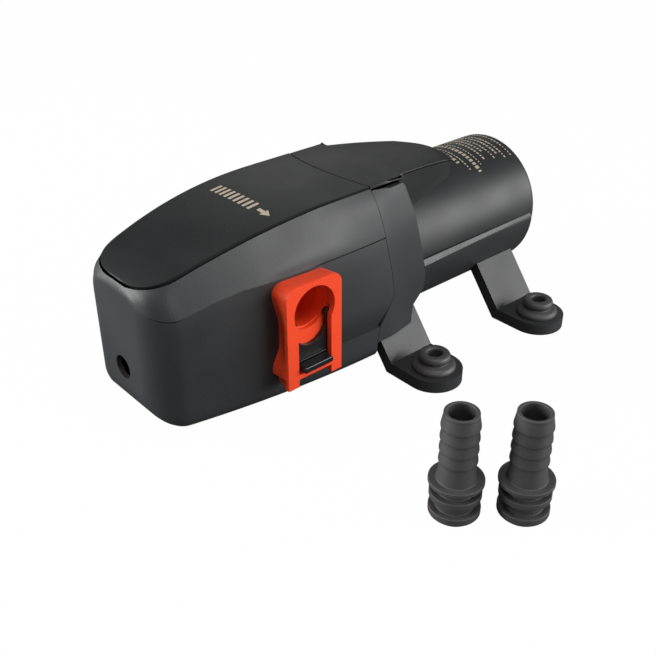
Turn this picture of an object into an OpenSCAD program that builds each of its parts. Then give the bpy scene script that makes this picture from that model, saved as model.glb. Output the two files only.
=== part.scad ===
// In-line electric diaphragm pump with two plug-in hose fittings.
// Axes: +X towards the motor end, -Y the outlet side, +Z up.
// Origin: centre of the four-hole foot pattern, on the surface that the pump stands on.

/* [Mounting feet] */
// Distance between foot holes along the pump
foot_pitch_x = 69; // [66:0.5:72]
// Distance between foot holes across the pump
foot_pitch_y = 109.5; // [107:0.5:118]
// Radius of the round end of each foot
foot_r = 12.2; // [11:0.1:14]
// Thickness of the legs and foot plates
foot_t = 5.4; // [4:0.1:6]
// Height of the grommet skirt that the foot plates stand on
grommet_lift = 1; // [0.6:0.1:1.6]
// Height of a grommet above its foot plate
grommet_rise = 7.1; // [6:0.1:9]
// Diameter of the screw hole through a grommet
grommet_hole_d = 5; // [4:0.1:6]
// Width of a leg along the pump
leg_w = 24.4; // [20:0.1:27]
// Distance from the middle of the pump to the bend above a foot
leg_bend_y = 41.6; // [40:0.1:42.6]

/* [Motor] */
// Outer diameter of the motor can
motor_d = 59.2; // [58:0.1:60]
// Height of the motor axis above the mounting surface
axis_z = 41.4; // [41:0.1:42.5]
// Rear end of the motor can, from the middle of the feet
motor_rear_x = 59.2; // [56:0.1:70]
// Front end of the motor can, from the middle of the feet (forwards is negative)
can_front_x = -20; // [-20.5:0.1:-19]
// Wall of the motor can
can_wall = 1.6; // [1.2:0.1:2]
// Thickness of the drive end plate
end_plate_t = 5; // [4.5:0.1:6]
// Diameter of the motor shaft
shaft_d = 8; // [6:0.1:9]
// Outer diameter of the two shaft bearings
bearing_d = 22; // [20:0.5:24]
// Width of a shaft bearing
bearing_w = 7; // [6:0.5:8]
// Diameter of the armature core
core_d = 38; // [34:0.5:40]
// Length of the armature core
core_len = 34; // [26:1:38]
// Number of armature slots
slot_count = 10; // [8:1:12]
// Thickness of the field magnets
magnet_t = 6; // [4:0.5:7]
// Diameter of the commutator
commutator_d = 18; // [16:0.5:20]

/* [Cradle] */
// Wall of the half-round cradle under the motor
cradle_wall = 2; // [1.6:0.1:2.2]
// Rear end of the cradle, from the middle of the feet
cradle_rear_x = 54.6; // [50:0.1:55.5]

/* [Head casing] */
// Front face of the head, from the middle of the feet (forwards is negative)
front_x = -148.6; // [-156:0.1:-147.5]
// Half width of the head at the collar
head_half_w = 36.8; // [36.4:0.1:38]
// Underside of the head
head_bottom_z = 8.4; // [7.6:0.1:8.8]
// Wall of the plastic casing
shell_wall = 2.2; // [1.8:0.1:2.4]
// Height of the joint between the lower and upper shells
shell_joint_z = 61.5; // [61.3:0.1:62.5]
// Radius of the upright front corners
front_corner_r = 11.4; // [9:0.2:13]
// Radius under the front face
chin_r = 12.5; // [9:0.5:13]
// Radius of the long lower edges
lower_edge_r = 4.8; // [3.6:0.2:5]
// Height of the edges of the top cover
top_z = 81.2; // [80.8:0.1:84]
// Half width of the top cover
cover_half_w = 24.9; // [24:0.1:25.6]
// Thickness of the top covers
cover_t = 2.4; // [2:0.1:3]
// Rise of the covers from their edges to their middle
cover_crown = 1.4; // [0.5:0.1:2.5]
// Width of the shadow groove around the covers
groove_gap = 0.5; // [0.3:0.1:0.8]
// Diameter of the access hole in the front face
access_d = 9.8; // [9.2:0.1:12]
// Height of the access hole
access_z = 29; // [28:0.1:30]

/* [Collar] */
// Rearmost point of the joint between head and collar
seam_x = -40.1; // [-41:0.1:-39]
// Rearmost point of the collar
rim_x = -17.7; // [-18.5:0.1:-17]
// Height of those two points
rim_z = 35; // [33:0.5:36]

/* [Ports] */
// Port axis, from the middle of the feet (forwards is negative)
port_x = -88.6; // [-90:0.1:-87]
// Height of the port axis
port_z = 48.9; // [48.4:0.1:49.2]
// Distance from the middle of the pump to the face of a port frame
port_face_y = 41.7; // [41.4:0.1:42.5]
// Width of a port frame
frame_w = 26.9; // [26.5:0.1:28]
// Radius of the upper corners of a port frame
frame_corner_r = 4.6; // [2:0.2:6]
// Top of a port frame above the port axis
frame_top = 12.3; // [12:0.1:12.5]
// Bottom of a port frame below the port axis
frame_drop = 31.4; // [30.6:0.1:32]
// Radius of the round end of the keyhole
keyhole_r = 9.94; // [9.88:0.02:10.2]
// Width of the straight slot of the keyhole
slot_w = 16.4; // [15:0.1:17]
// Thickness of the front plate of a port frame
face_t = 2.4; // [2:0.1:2.8]
// Depth of the channel that the latch slides in
channel_t = 2.2; // [2:0.1:2.6]
// Radius of the port bore
port_bore_r = 9.44; // [9.3:0.01:9.6]
// Wall of the port tube
port_wall = 2; // [1.5:0.1:2.2]
// Inner end of the port tubes, from the middle of the pump
port_tube_y = 14; // [12:0.5:16]
// Width of the crossbar under the finger ledge
crossbar_h = 2; // [1.6:0.1:2.6]

/* [Latches] */
// Travel of a latch from open to locked
latch_travel = 8.6; // [7:0.1:9]
// Inner radius of the latch fork
fork_r = 7.9; // [7.2:0.1:8]
// Height of the fork horns above the fork centre
fork_horn = 4.5; // [3:0.1:4.8]
// Width of the latch fork
fork_w = 20.8; // [20:0.1:21]
// Reach of the finger ledge in front of the frame
ledge_reach = 2.4; // [1.5:0.1:4]
// Height of the finger ledge
ledge_h = 2.6; // [2:0.1:3.2]
// Sliding clearance of a latch on each side
latch_clear = 0.2; // [0.15:0.05:0.3]

/* [Hose fittings] */
// Height of the chamfered end ring
end_ring_h = 4.3; // [3.8:0.1:4.8]
// Height of the middle ring
mid_ring_h = 2.5; // [2:0.1:3]
// Height of each groove
groove_h = 4.2; // [3.2:0.1:4.4]
// Thickness of the flange
flange_h = 1.7; // [1.4:0.1:2]
// Height of the cone above the flange
cone_h = 7.4; // [6:0.1:9]
// Pitch of the hose ribs
barb_pitch = 4.7; // [4:0.1:5.2]
// Number of hose ribs
barb_count = 4; // [3:1:5]
// Radius of the sealing rings
ring_r = 9.2; // [9:0.02:9.25]
// Radius of the flange
flange_r = 9.8; // [9.5:0.02:9.82]
// Radius in the grooves between the rings
ring_groove_r = 6.8; // [6.4:0.1:7]
// Radius over the hose ribs
barb_r = 6.8; // [6.5:0.05:7.2]
// Radius at the foot of each hose rib
barb_root_r = 6.1; // [5.8:0.05:6.3]
// Radius of the bore
fitting_bore_r = 4.85; // [4.4:0.05:5.2]

/* [Pump works] */
// Radius of the drive housing and of the valve plate
works_r = 29.5; // [29:0.1:29.6]
// Radius of the circle that the long bolts stand on
bolt_circle_r = 26.2; // [26:0.1:26.4]
// Diameter of the long bolts
bolt_d = 4; // [3:0.1:4.4]
// Front face of the drive housing (forwards is negative)
drive_front_x = -52; // [-53:0.5:-51.5]
// Thickness of the diaphragm
diaphragm_t = 3; // [2:0.1:3.5]
// Thickness of the valve plate
valve_plate_t = 15; // [13:0.5:16]
// Radius of the circle that the pistons stand on
piston_circle_r = 13; // [12:0.1:14]
// Number of pistons and pump chambers
piston_count = 3; // [3:1:4]
// Half width of the manifold block
manifold_half_w = 22; // [21:0.5:22.4]
// Front face of the manifold block (forwards is negative)
manifold_front_x = -108; // [-110:0.5:-106]
// Outer radius of the pressure switch
switch_r = 9; // [8:0.5:10]
// Travel of the pressure switch plunger
plunger_travel = 1.2; // [0.8:0.1:1.5]

/* [Clearances] */
// Radial clearance of the shaft in its bearings
running_fit = 0.04; // [0.02:0.01:0.08]
// Clearance between parts that are put together by hand
part_gap = 0.15; // [0.1:0.05:0.25]

/* [Hidden] */
$fn = 64;
charcoal = "#2b2d2f";
black = "#1c1d1e";
signal_red = "#e8451f";
steel = "#b9bcc0";
brass = "#c8a24a";
rubber = "#232425";
white_plastic = "#d9d9d2";
tan_plastic = "#8d8878";
copper = "#b4713d";
iron = "#4a4d50";
motor_r = motor_d / 2;
plate_top = grommet_lift + foot_t;
eps = 0.01;

// Place of the two loose fittings on the ground, in front of the pump
outlet_fitting_at = [-89.5, -116.4];
inlet_fitting_at = [-71.5, -132.3];

// ---- Head outline: how the casing widens, rises and rounds along X ----
taper_start_x = -42;
taper_arc_r = 436;
collar_taper = 0.177;
cover_taper_x = -80;
cover_taper_r = 358;
cover_front_x = front_x + 3;
cover_corner_r = 11.3;
crest_x = -67.4;
crest_arc_r = 221;
shoulder_z = 62.2;
shoulder_run = 5.5;
shoulder_rise = 6.5;
crease_x = front_x + 13;
crease_low_z = 54.7;
crease_high_z = 64.5;
crease_slope = 0.226;
round_start_x = -105;
round_end_x = -42;

// Side view of the two joints of the collar, as [step forward, height above rim_z] points
seam_steps = [[6.7, 57], [4, 26], [0, 0], [4.4, -5.8], [8.8, -11.8], [9.9, -18]];
rim_steps = [[12.6, 57], [6.3, 32], [1.6, 8.8], [0, 0], [1, -6], [8.9, -11], [10.4, -19]];
// Arc in plan between the top cover and the tail cover
cover_joint_x = -50.5;
cover_joint_r = 64.5;
// Tail cover: where it starts to narrow, where its round end starts, and its tip
tail_x = -28;
tail_end_x = 10.3;
tail_tip_x = 22;
tail_end_half_w = 15;
tail_end_z = 75;
tail_tip_z = 72;
// Lower edge of the collar, just above the front legs
skirt_z = 16;

function sq(v) = v * v;
function arc_drop(r, d) = d <= 0 ? 0 : r - sqrt(max(0, r * r - min(d, r) * min(d, r)));
function half_width(x, k) = head_half_w - k
    - sq(max(0, taper_start_x - x)) / (2 * taper_arc_r)
    - collar_taper * max(0, x - taper_start_x)
    - arc_drop(front_corner_r - k, front_x + front_corner_r - x);
function floor_z(x, k) = head_bottom_z + k + arc_drop(chin_r - k, front_x + chin_r - x);
function cover_half(x) = cover_half_w
    - sq(max(0, cover_taper_x - x)) / (2 * cover_taper_r)
    - arc_drop(cover_corner_r, cover_front_x + cover_corner_r - x);
function crest_z(x) = top_z - sq(max(0, crest_x - x)) / (2 * crest_arc_r);
function shoulder_at(x) =
    let (u = min(1, max(0, (front_x + shoulder_run - x) / shoulder_run)))
    shoulder_z + shoulder_rise * sqrt(1 - u * u);
function edge_z(x) = x < front_x + shoulder_run ? min(crest_z(x), shoulder_at(x)) : crest_z(x);
function crease_z(x) = x < crease_x
    ? crease_low_z + 0.023 * sq(crease_x - x)
    : min(crease_high_z, crease_low_z + crease_slope * (x - crease_x));
function mix(a, b, s) = a + (b - a) * s;

// A solid lofted through rings of points that each lie in a plane across X
module loft(rings) {
    n = len(rings[0]);
    m = len(rings);
    skin = [for (i = [0 : m - 2], j = [0 : n - 1]) let (k = (j + 1) % n)
        each j < n / 2
            ? [[i * n + j, (i + 1) * n + k, i * n + k],
               [i * n + j, (i + 1) * n + j, (i + 1) * n + k]]
            : [[i * n + j, (i + 1) * n + j, i * n + k],
               [(i + 1) * n + j, (i + 1) * n + k, i * n + k]]];
    first = [for (j = [0 : n - 1]) j];
    last = [for (j = [n - 1 : -1 : 0]) (m - 1) * n + j];
    polyhedron([for (r = rings) each r], concat(skin, [first, last]));
}

// The right half of a section, as [y, z] points from the bottom up, closed into a ring at x
function ring_at(x, half) = concat(
    [for (p = half) [x, p[0], p[1]]],
    [for (i = [len(half) - 2 : -1 : 1]) [x, -half[i][0], half[i][1]]]);

// Half a section of the head, drawn in by k at the sides and by top_k at the top
function head_half(x, k, top_k) =
    let (w = half_width(x, k), z0 = floor_z(x, k), r = lower_edge_r - k / 2, zt = edge_z(x) - top_k,
         zc = min(crease_z(x), zt - 1), t = min(cover_half(max(x, cover_front_x + eps)), w - 1),
         s = min(1, max(0, (x - round_start_x) / (round_end_x - round_start_x))),
         f = min(1, max(0, (front_x + 12 - x) / 12)))
    concat([[0, z0]],
        [for (a = [0 : 30 : 90]) [w - r + r * sin(a), z0 + r - r * cos(a)]],
        [[mix(w, w - 0.9, s), 42],
         [mix(w, w - 2.6, s), mix(min(zc - 3, 57), 57, s)],
         [mix(w - 0.4, w - 4.2, s), mix(zc, 65.5, s)],
         [mix(mix(t, w, mix(0.35, 0.6, f)), w - 7.6, s), mix(mix(zc, zt, mix(0.62, 0.8, f)), zt - 5.5, s)],
         [t, zt], [t / 2, zt + cover_crown * 0.75], [0, zt + cover_crown]]);

// Where the sections stand: close together round the front corners, then evenly to the back
corner_steps = [0, 0.4, 1.5, 3, 4.3, 6.4, 9, 12];
head_back_x = -14;
long_count = 13;
function stations(from, count) =
    [for (i = [1 : count]) mix(from, head_back_x, i / count)];
outer_stations = concat([for (d = corner_steps) front_x + d], stations(front_x + 12, long_count));
cover_stations = [for (x = outer_stations) if (x > cover_front_x - eps) x];

module head_block() loft([for (x = outer_stations) ring_at(x, head_half(x, 0, 0))]);

// The space in front of a collar joint, moved back by gap
module before_joint(x0, steps, gap) {
    far = front_x - 20;
    last = steps[len(steps) - 1];
    rotate([90, 0, 0]) linear_extrude(240, center = true)
        polygon(concat([[far, -20], [far, 120], [x0 - steps[0][0] + gap, 120]],
            [for (s = steps) [x0 - s[0] + gap, rim_z + s[1]]], [[x0 - last[0] + gap, -20]]));
}

module slab(z_low, z_high) translate([-200, -80, z_low]) cube([300, 160, z_high - z_low]);

// Rods and tubes along X, on the motor axis unless told otherwise
module x_rod(x_low, x_high, r, y = 0, z = axis_z)
    translate([x_low, y, z]) rotate([0, 90, 0]) cylinder(h = x_high - x_low, r = r);

module x_tube(x_low, x_high, r, bore_r, y = 0, z = axis_z) difference() {
    x_rod(x_low, x_high, r, y, z);
    x_rod(x_low - 1, x_high + 1, bore_r, y, z);
}

// Copies spread evenly round the motor axis, the first one at the bottom
module round_axis(count, r, turn = 0)
    for (i = [0 : count - 1])
        translate([0, r * sin(turn + i * 360 / count), axis_z - r * cos(turn + i * 360 / count)])
            children();

module mirrored_pair() {
    children();
    mirror([0, 1, 0]) children();
}

// ---- Covers ----
// The space that a cover fills, widened by grow and open upwards when lid is true
module cover_block(grow, lid) loft([for (x = cover_stations) let (c = cover_half(x), z = edge_z(x))
    ring_at(x - (x < cover_front_x + eps ? grow : 0), lid
        ? [[0, z - cover_t], [c + grow, z - cover_t], [c + grow, z + 9], [0, z + 9]]
        : [[0, z - cover_t], [c, z - cover_t], [c, z - 0.4], [c - 0.4, z],
           [c / 2, z + cover_crown * 0.75], [0, z + cover_crown]])]);

module cover_joint_disc(grow)
    translate([cover_joint_x + cover_joint_r, 0, 0]) cylinder(h = 150, r = cover_joint_r + grow, $fn = 128);

function tail_half(x) = x < tail_x ? cover_half_w
    : x < tail_end_x ? mix(cover_half_w, tail_end_half_w, (x - tail_x) / (tail_end_x - tail_x))
    : tail_end_half_w * sqrt(max(0.01, 1 - sq((x - tail_end_x) / (tail_tip_x - tail_end_x))));
function tail_z(x) = x < tail_x ? top_z
    : x < tail_end_x ? mix(top_z, tail_end_z, (x - tail_x) / (tail_end_x - tail_x))
    : mix(tail_end_z, tail_tip_z, (x - tail_end_x) / (tail_tip_x - tail_end_x));
tail_stations = concat([for (i = [0 : 4]) mix(tail_x, tail_end_x, i / 4)],
    [for (a = [15 : 15 : 90]) tail_end_x + (tail_tip_x - tail_end_x) * sin(a)]);

// The tail cover before it is hollowed: a flat plate in front, a deep fairing behind
module tail_block() loft([for (x = concat([cover_joint_x - 6, tail_x - eps], tail_stations))
    let (h = tail_half(x), z = tail_z(x), low = x < tail_x ? z - cover_t : axis_z + 5)
    ring_at(x, [[0, low], [h, low], [h, z - 0.4], [h - 0.4, z], [h / 2, z + cover_crown * 0.75],
        [0, z + cover_crown]])]);

module tail_hollow() loft([for (x = tail_stations)
    let (h = max(1, tail_half(x) - shell_wall), z = tail_z(x) - shell_wall)
    ring_at(x < tail_end_x ? x - 1 : x - shell_wall, [[0, axis_z], [h, axis_z], [h, z], [0, z]])]);

module top_cover() color(charcoal) difference() {
    cover_block(0, false);
    cover_joint_disc(groove_gap / 2);
}

module tail_cover() color(charcoal) difference() {
    tail_block();
    tail_hollow();
    // room for the collar under the front plate
    intersection() {
        before_joint(rim_x, rim_steps, part_gap);
        translate([tail_x, -40, 0]) cube([20, 80, top_z - cover_t]);
    }
    // round joint with the top cover
    translate([0, 0, top_z - 11]) linear_extrude(20) difference() {
        translate([cover_joint_x - 10, -40]) square([18, 80]);
        translate([cover_joint_x + cover_joint_r, 0]) circle(r = cover_joint_r, $fn = 128);
    }
    x_rod(can_front_x - 20, motor_rear_x, motor_r + part_gap);
}

// ---- Head casing ----
// Half width of a head section at height z, above the long lower edges
function side_y(half, z) = lookup(z, [for (i = [5 : 9]) [half[i][1], half[i][0]]]);

// The part of a head section below height j, and the part above it
function below(h, j) = concat([for (i = [0 : 5]) h[i]],
    [for (z = [h[6][1], min(h[7][1], j - 1.2), j]) [side_y(h, z), z]], [[0, j]]);
function above(h, j) = concat([[0, j]],
    [for (z = [j, max(h[7][1], j + 0.15), max(h[8][1], j + 0.3)]) [side_y(h, z), z]],
    [for (i = [9 : 11]) h[i]]);

shell_stations = [for (x = outer_stations) if (x < -30) x];
hollow_stations = [front_x + shell_wall, front_x + 4.3, front_x + 7.5, front_x + 12, -118, -98, -78, -58, -44, -26];

module lower_block() loft([for (x = shell_stations) ring_at(x, below(head_half(x, 0, 0), shell_joint_z))]);

module lower_hollow() loft([for (x = hollow_stations)
    ring_at(x, below(head_half(x, shell_wall, cover_t + shell_wall), shell_joint_z + 0.5))]);

module upper_block() loft([for (x = shell_stations) ring_at(x, above(head_half(x, 0, 0), shell_joint_z))]);

module upper_hollow() loft([for (x = hollow_stations)
    ring_at(x, above(head_half(x, shell_wall, cover_t + shell_wall), shell_joint_z - 1))]);

// Outline of the part of a port frame that passes through the casing
module port_neck(grow) translate([port_x, 0, port_z]) rotate([90, 0, 0])
    linear_extrude(100, center = true)
        translate([-frame_w / 2 + 2 - grow, -frame_drop + 6 - grow])
            square([frame_w - 4 + 2 * grow, frame_drop + frame_top - 7.5 + 2 * grow]);

module lower_shell() color(charcoal) difference() {
    lower_block();
    difference() {
        lower_hollow();
        // ribs that carry the pump works
        for (x = [drive_front_x - valve_plate_t - 3.5, drive_front_x - 4])
            translate([x, -60, 0]) cube([2.5, 120, axis_z - 8]);
        shell_screw_places() cylinder(h = 100, r = 4);
    }
    behind_joint(seam_x, seam_steps);
    x_rod(-90, 0, works_r);
    port_neck(0.3);
    x_rod(front_x - 1, front_x + 20, access_d / 2, 0, access_z);
    shell_screw_places() cylinder(h = 100, r = shell_screw_d / 2 + part_gap);
    shell_screw_places() cylinder(h = screw_seat_z, r = shell_screw_d + part_gap);
}

// Width of the ledge that the top cover rests on
cover_ledge = 6;

module upper_shell() color(charcoal) difference() {
    upper_block();
    difference() {
        upper_hollow();
        shell_screw_places() cylinder(h = top_z, r = 3.4);
    }
    cover_block(groove_gap, true);
    // opening under the cover, inside its ledge
    translate([front_x + 14, -cover_half_w + cover_ledge, shell_joint_z + 3])
        cube([cover_joint_x - 5.5 - front_x - 14, 2 * (cover_half_w - cover_ledge), 30]);
    behind_joint(seam_x, seam_steps);
    translate([0, 0, shell_joint_z - 1]) shell_screw_places() cylinder(h = 6.2, r = shell_screw_d / 2 + part_gap);
}

shell_screw_d = 3.5;
screw_seat_z = head_bottom_z + 4;
module shell_screw_places() for (x = [front_x + 14, manifold_front_x - 6]) mirrored_pair()
    translate([x, half_width(x, 0) - 8.5, 0]) children();

module shell_screws() color(steel) shell_screw_places() {
    translate([0, 0, screw_seat_z - 2]) difference() {
        cylinder(h = 2, r = shell_screw_d);
        translate([-0.4, -2.5, -1]) cube([0.8, 5, 1.8]);
    }
    translate([0, 0, screw_seat_z]) cylinder(h = shell_joint_z + 4.8 - screw_seat_z, r = shell_screw_d / 2);
}

// Sections of the collar, drawn in by k, over a length that is cut back to its two joints
module collar_block(k) loft([for (x = [-53 - k, -42, -35, -28, -21, -13 + k])
    ring_at(x, head_half(x, k, k > 0 ? cover_t + k : 0))]);

module behind_joint(x0, steps) rotate([90, 0, 0]) linear_extrude(240, center = true)
    polygon(concat([[40, -20], [40, 120]],
        [for (s = steps) [x0 - s[0], rim_z + s[1]]], [[x0 - steps[len(steps) - 1][0], -20]]));

module drive_collar() color(charcoal) difference() {
    collar_block(0);
    collar_block(shell_wall);
    before_joint(seam_x, seam_steps, part_gap);
    behind_joint(rim_x, rim_steps);
    translate([-60, -50, 0]) cube([60, 100, skirt_z]);
    translate([-60, -cover_half_w - groove_gap, top_z - cover_t]) cube([60, 2 * (cover_half_w + groove_gap), 20]);
    x_rod(can_front_x - end_plate_t - 1, 0, motor_r + part_gap);
    cradle_room(part_gap);
    cable_place() cylinder(h = 20, r = cable_hole_r);
}

cable_hole_r = 4;
module cable_place() translate([-31, 0, 52]) rotate([-90, 0, 0]) translate([0, 0, 29]) children();

module cable_grommet() color(rubber) difference() {
    cable_place() translate([0, 0, 1.5]) {
        cylinder(h = 6, r = cable_hole_r - part_gap);
        translate([0, 0, 4.4]) cylinder(h = 2.4, r = cable_hole_r + 1.6);
    }
    cable_place() cylinder(h = 30, r = 2.2);
}

// ---- Motor ----
module motor_can() color(black) {
    difference() {
        union() {
            x_rod(can_front_x, motor_rear_x - 2, motor_r);
            translate([motor_rear_x - 2, 0, axis_z]) rotate([0, 90, 0]) rotate_extrude()
                intersection() {
                    union() {
                        square([motor_r - 2, 2]);
                        translate([motor_r - 2, 0]) circle(r = 2);
                    }
                    square([motor_r, 2]);
                }
        }
        x_rod(can_front_x - 1, motor_rear_x - can_wall, motor_r - can_wall);
        round_axis(2, through_bolt_r) x_rod(0, 100, 2, 0, 0);
    }
    x_tube(motor_rear_x - can_wall - bearing_w, motor_rear_x - can_wall, bearing_d / 2 + 2, bearing_d / 2);
}

through_bolt_r = 22.2;
bearing_front_x = can_front_x - end_plate_t + 1.2;
bearing_rear_x = motor_rear_x - can_wall - bearing_w;

module motor_front_plate() color(steel) difference() {
    union() {
        x_rod(can_front_x - end_plate_t, can_front_x, motor_r);
        x_rod(can_front_x, can_front_x + 2, motor_r - can_wall);
        x_rod(can_front_x, bearing_front_x + bearing_w, bearing_d / 2 + 2);
    }
    x_rod(-60, 0, shaft_d / 2 + 2);
    x_rod(bearing_front_x, 0, bearing_d / 2);
    pump_bolt_places() x_rod(-25.5, -21, bolt_d / 2, 0, 0);
    round_axis(2, through_bolt_r) x_rod(-24, 0, through_bolt_d / 2, 0, 0);
}

module ball_bearing(x_low) color(steel) difference() {
    x_rod(x_low, x_low + bearing_w, bearing_d / 2);
    x_rod(x_low - 1, x_low + bearing_w + 1, shaft_d / 2 + running_fit);
    for (x = [x_low - 0.6, x_low + bearing_w - 0.6])
        x_tube(x, x + 1.2, bearing_d / 2 - 2.4, shaft_d / 2 + 2.2);
}

module front_bearing() ball_bearing(bearing_front_x);

module rear_bearing() ball_bearing(bearing_rear_x);

shaft_front_x = -43.5;
shaft_rear_x = motor_rear_x - can_wall - 1;

module motor_shaft() color(steel)
    x_rod(shaft_front_x, shaft_rear_x, shaft_d / 2);

core_x = 2;
slot_depth = 9;
slot_turn = 360 / slot_count;

module armature_core() color(steel) difference() {
    x_rod(core_x, core_x + core_len, core_d / 2);
    x_rod(core_x - 1, core_x + core_len + 1, shaft_d / 2);
    armature_slots(core_x - 1, core_x + core_len + 1, 0);
    round_axis(slot_count, core_d / 2) translate([core_x - 1, -0.9, -1]) cube([core_len + 2, 1.8, 4]);
}

// The winding slots of the armature, each narrowed by k
module armature_slots(x_low, x_high, k) for (i = [0 : slot_count - 1])
    translate([x_low, 0, axis_z]) rotate([i * slot_turn, 0, 0])
        translate([0, -2.2 + k, -core_d / 2 + 1.6 + k]) cube([x_high - x_low, 4.4 - 2 * k, slot_depth - 2 * k]);

module armature_windings() color(copper) difference() {
    union() {
        x_rod(core_x - 6, core_x, core_d / 2 - 1.8);
        x_rod(core_x + core_len, core_x + core_len + 6, core_d / 2 - 1.8);
        armature_slots(core_x - 3, core_x + core_len + 3, 0);
    }
    x_rod(core_x - 10, core_x + core_len + 10, shaft_d / 2 + 1);
    for (x = [core_x - 6, core_x + core_len + 6], i = [0 : slot_count - 1])
        translate([x, 0, axis_z]) rotate([(i + 0.5) * slot_turn, 0, 0])
            translate([0, 0, -core_d / 2]) rotate([0, 90, 0]) cylinder(h = 8, r = 3, center = true, $fn = 24);
}

commutator_x = -14.6;
commutator_len = 9;

module commutator() color(copper) difference() {
    union() {
        x_rod(commutator_x, commutator_x + commutator_len, commutator_d / 2);
        x_rod(commutator_x + commutator_len, commutator_x + commutator_len + 1.4, commutator_d / 2 + 1.2);
    }
    x_rod(commutator_x - 1, commutator_x + commutator_len + 2, shaft_d / 2);
    for (i = [0 : slot_count - 1])
        translate([commutator_x - 1, 0, axis_z]) rotate([i * slot_turn, 0, 0])
            translate([0, -0.25, -commutator_d / 2 - 2]) cube([commutator_len + 3, 0.5, 4]);
}

module field_magnets() color(iron) difference() {
    x_tube(core_x - 4, core_x + core_len + 4, motor_r - can_wall, motor_r - can_wall - magnet_t);
    // gaps between the two magnets, at the top and at the bottom
    translate([core_x - 10, 0, axis_z]) rotate([0, 90, 0]) linear_extrude(core_len + 20)
        for (side = [-1, 1])
            polygon([[0, 0], [side * 40, -21], [side * 40, 21]]);
}

brush_plate_x = -17.6;
brush_w = 6;
brush_gap = 0.2;
brush_len = 10;
brush_outer_r = commutator_d / 2 + brush_gap + brush_len;
brush_x = commutator_x + 1.5;

module brush_plate() color(tan_plastic) difference() {
    union() {
        x_rod(brush_plate_x, brush_plate_x + 2, motor_r - can_wall - part_gap);
        for (side = [-1, 1])
            translate([brush_plate_x, side * 19 - 7.6, axis_z - 5]) cube([12, 15.2, 10]);
    }
    x_rod(brush_plate_x - 1, brush_plate_x + 3, bearing_d / 2 + 2 + part_gap);
    for (side = [-1, 1])
        translate([brush_x, side * 18.45 - 7.15, axis_z - 3]) cube([brush_w, 14.3, brush_w]);
    round_axis(2, through_bolt_r) x_rod(-30, 0, through_bolt_d / 2 + part_gap, 0, 0);
}

module carbon_brushes() color(iron) for (side = [-1, 1])
    translate([brush_x, side * (commutator_d / 2 + brush_gap + brush_len / 2) - brush_len / 2, axis_z - 3])
        cube([brush_w, brush_len, brush_w]);

// A round wire spring drawn as separate turns joined by a side wire
module spring(length, r, wire, turns) {
    for (i = [0 : turns])
        translate([0, 0, wire + i * (length - 2 * wire) / turns])
            rotate_extrude($fn = 32) translate([r, 0]) circle(r = wire, $fn = 8);
    translate([r, 0, wire]) cylinder(h = length - 2 * wire, r = wire * 0.9);
}

module brush_springs() color(steel) for (side = [-1, 1])
    translate([brush_x + brush_w / 2, side * brush_outer_r, axis_z]) rotate([-90 * side, 0, 0])
        spring(6, 2.2, 0.35, 4);

through_bolt_d = 3.5;

module through_bolts() color(steel) round_axis(2, through_bolt_r) {
    x_rod(-23.5, motor_rear_x, through_bolt_d / 2, 0, 0);
    difference() {
        x_rod(motor_rear_x, motor_rear_x + 2.4, 3.4, 0, 0);
        translate([motor_rear_x + 1.4, -4, -0.5]) cube([2, 8, 1]);
    }
}

// ---- Cradle, legs and feet ----
module leg_outline(grow) polygon([[18, 24], [27.2 + grow, 24.8], [leg_bend_y + grow * 1.2, plate_top + grow],
    [foot_pitch_y / 2, plate_top + grow], [foot_pitch_y / 2, grommet_lift - grow],
    [leg_bend_y - 2.7 - grow, grommet_lift - grow], [22.9 - grow, 21.5 - grow], [16, 20]]);

module legs(grow) mirrored_pair() for (side = [-1, 1])
    translate([side * foot_pitch_x / 2 - leg_w / 2 - grow, 0, 0]) rotate([90, 0, 90])
        linear_extrude(leg_w + 2 * grow) leg_outline(grow);

cradle_front_x = -foot_pitch_x / 2 - leg_w / 2;

// The space that the cradle and its legs take up inside the collar
module cradle_room(grow) {
    translate([cradle_front_x - grow, 0, axis_z]) rotate([90, 0, 90])
        linear_extrude(-cradle_front_x) intersection() {
            circle(r = motor_r + cradle_wall + grow);
            translate([-40, -40]) square([80, 40.4 + grow]);
        }
    legs(grow);
}

module motor_cradle() color(charcoal) difference() {
    union() {
        intersection() {
            x_rod(cradle_front_x, cradle_rear_x, motor_r + cradle_wall);
            slab(0, axis_z + 0.4);
        }
        legs(0);
        foot_places() translate([0, 0, grommet_lift]) cylinder(h = foot_t, r = foot_r);
        // long rib under each side of the cradle
        mirrored_pair() translate([cradle_front_x, motor_r + cradle_wall - 0.6, axis_z - 2.2])
            cube([cradle_rear_x - cradle_front_x, 1.2, 2.6]);
    }
    x_rod(-80, 80, motor_r);
    foot_places() cylinder(h = 20, r = grommet_neck_r);
    // the collar wraps the front of the cradle, so the ribs start behind it
    mirrored_pair() translate([cradle_front_x - 1, motor_r + cradle_wall, axis_z - 4])
        cube([rim_x - cradle_front_x + 2, 3, 6]);
}

module foot_places() mirrored_pair() for (side = [-1, 1])
    translate([side * foot_pitch_x / 2, foot_pitch_y / 2, 0]) children();

grommet_neck_r = 6.4;

module foot_grommets() color(rubber) foot_places() {
    top = plate_top + grommet_rise;
    hole_r = grommet_hole_d / 2;
    rotate_extrude() polygon([[hole_r, 0], [9, 0], [9, grommet_lift], [grommet_neck_r, grommet_lift],
        [grommet_neck_r, plate_top], [9.25, plate_top], [9.25, plate_top + 1.4], [8.2, plate_top + 2.6],
        [6.2, plate_top + 3.2], [6.2, plate_top + 4], [6.9, plate_top + 4.6], [6.9, top - 1.4],
        [6.2, top - 0.3], [5.4, top], [4.1, top], [hole_r + 0.4, top - 2.4], [hole_r, top - 3]]);
}

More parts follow.
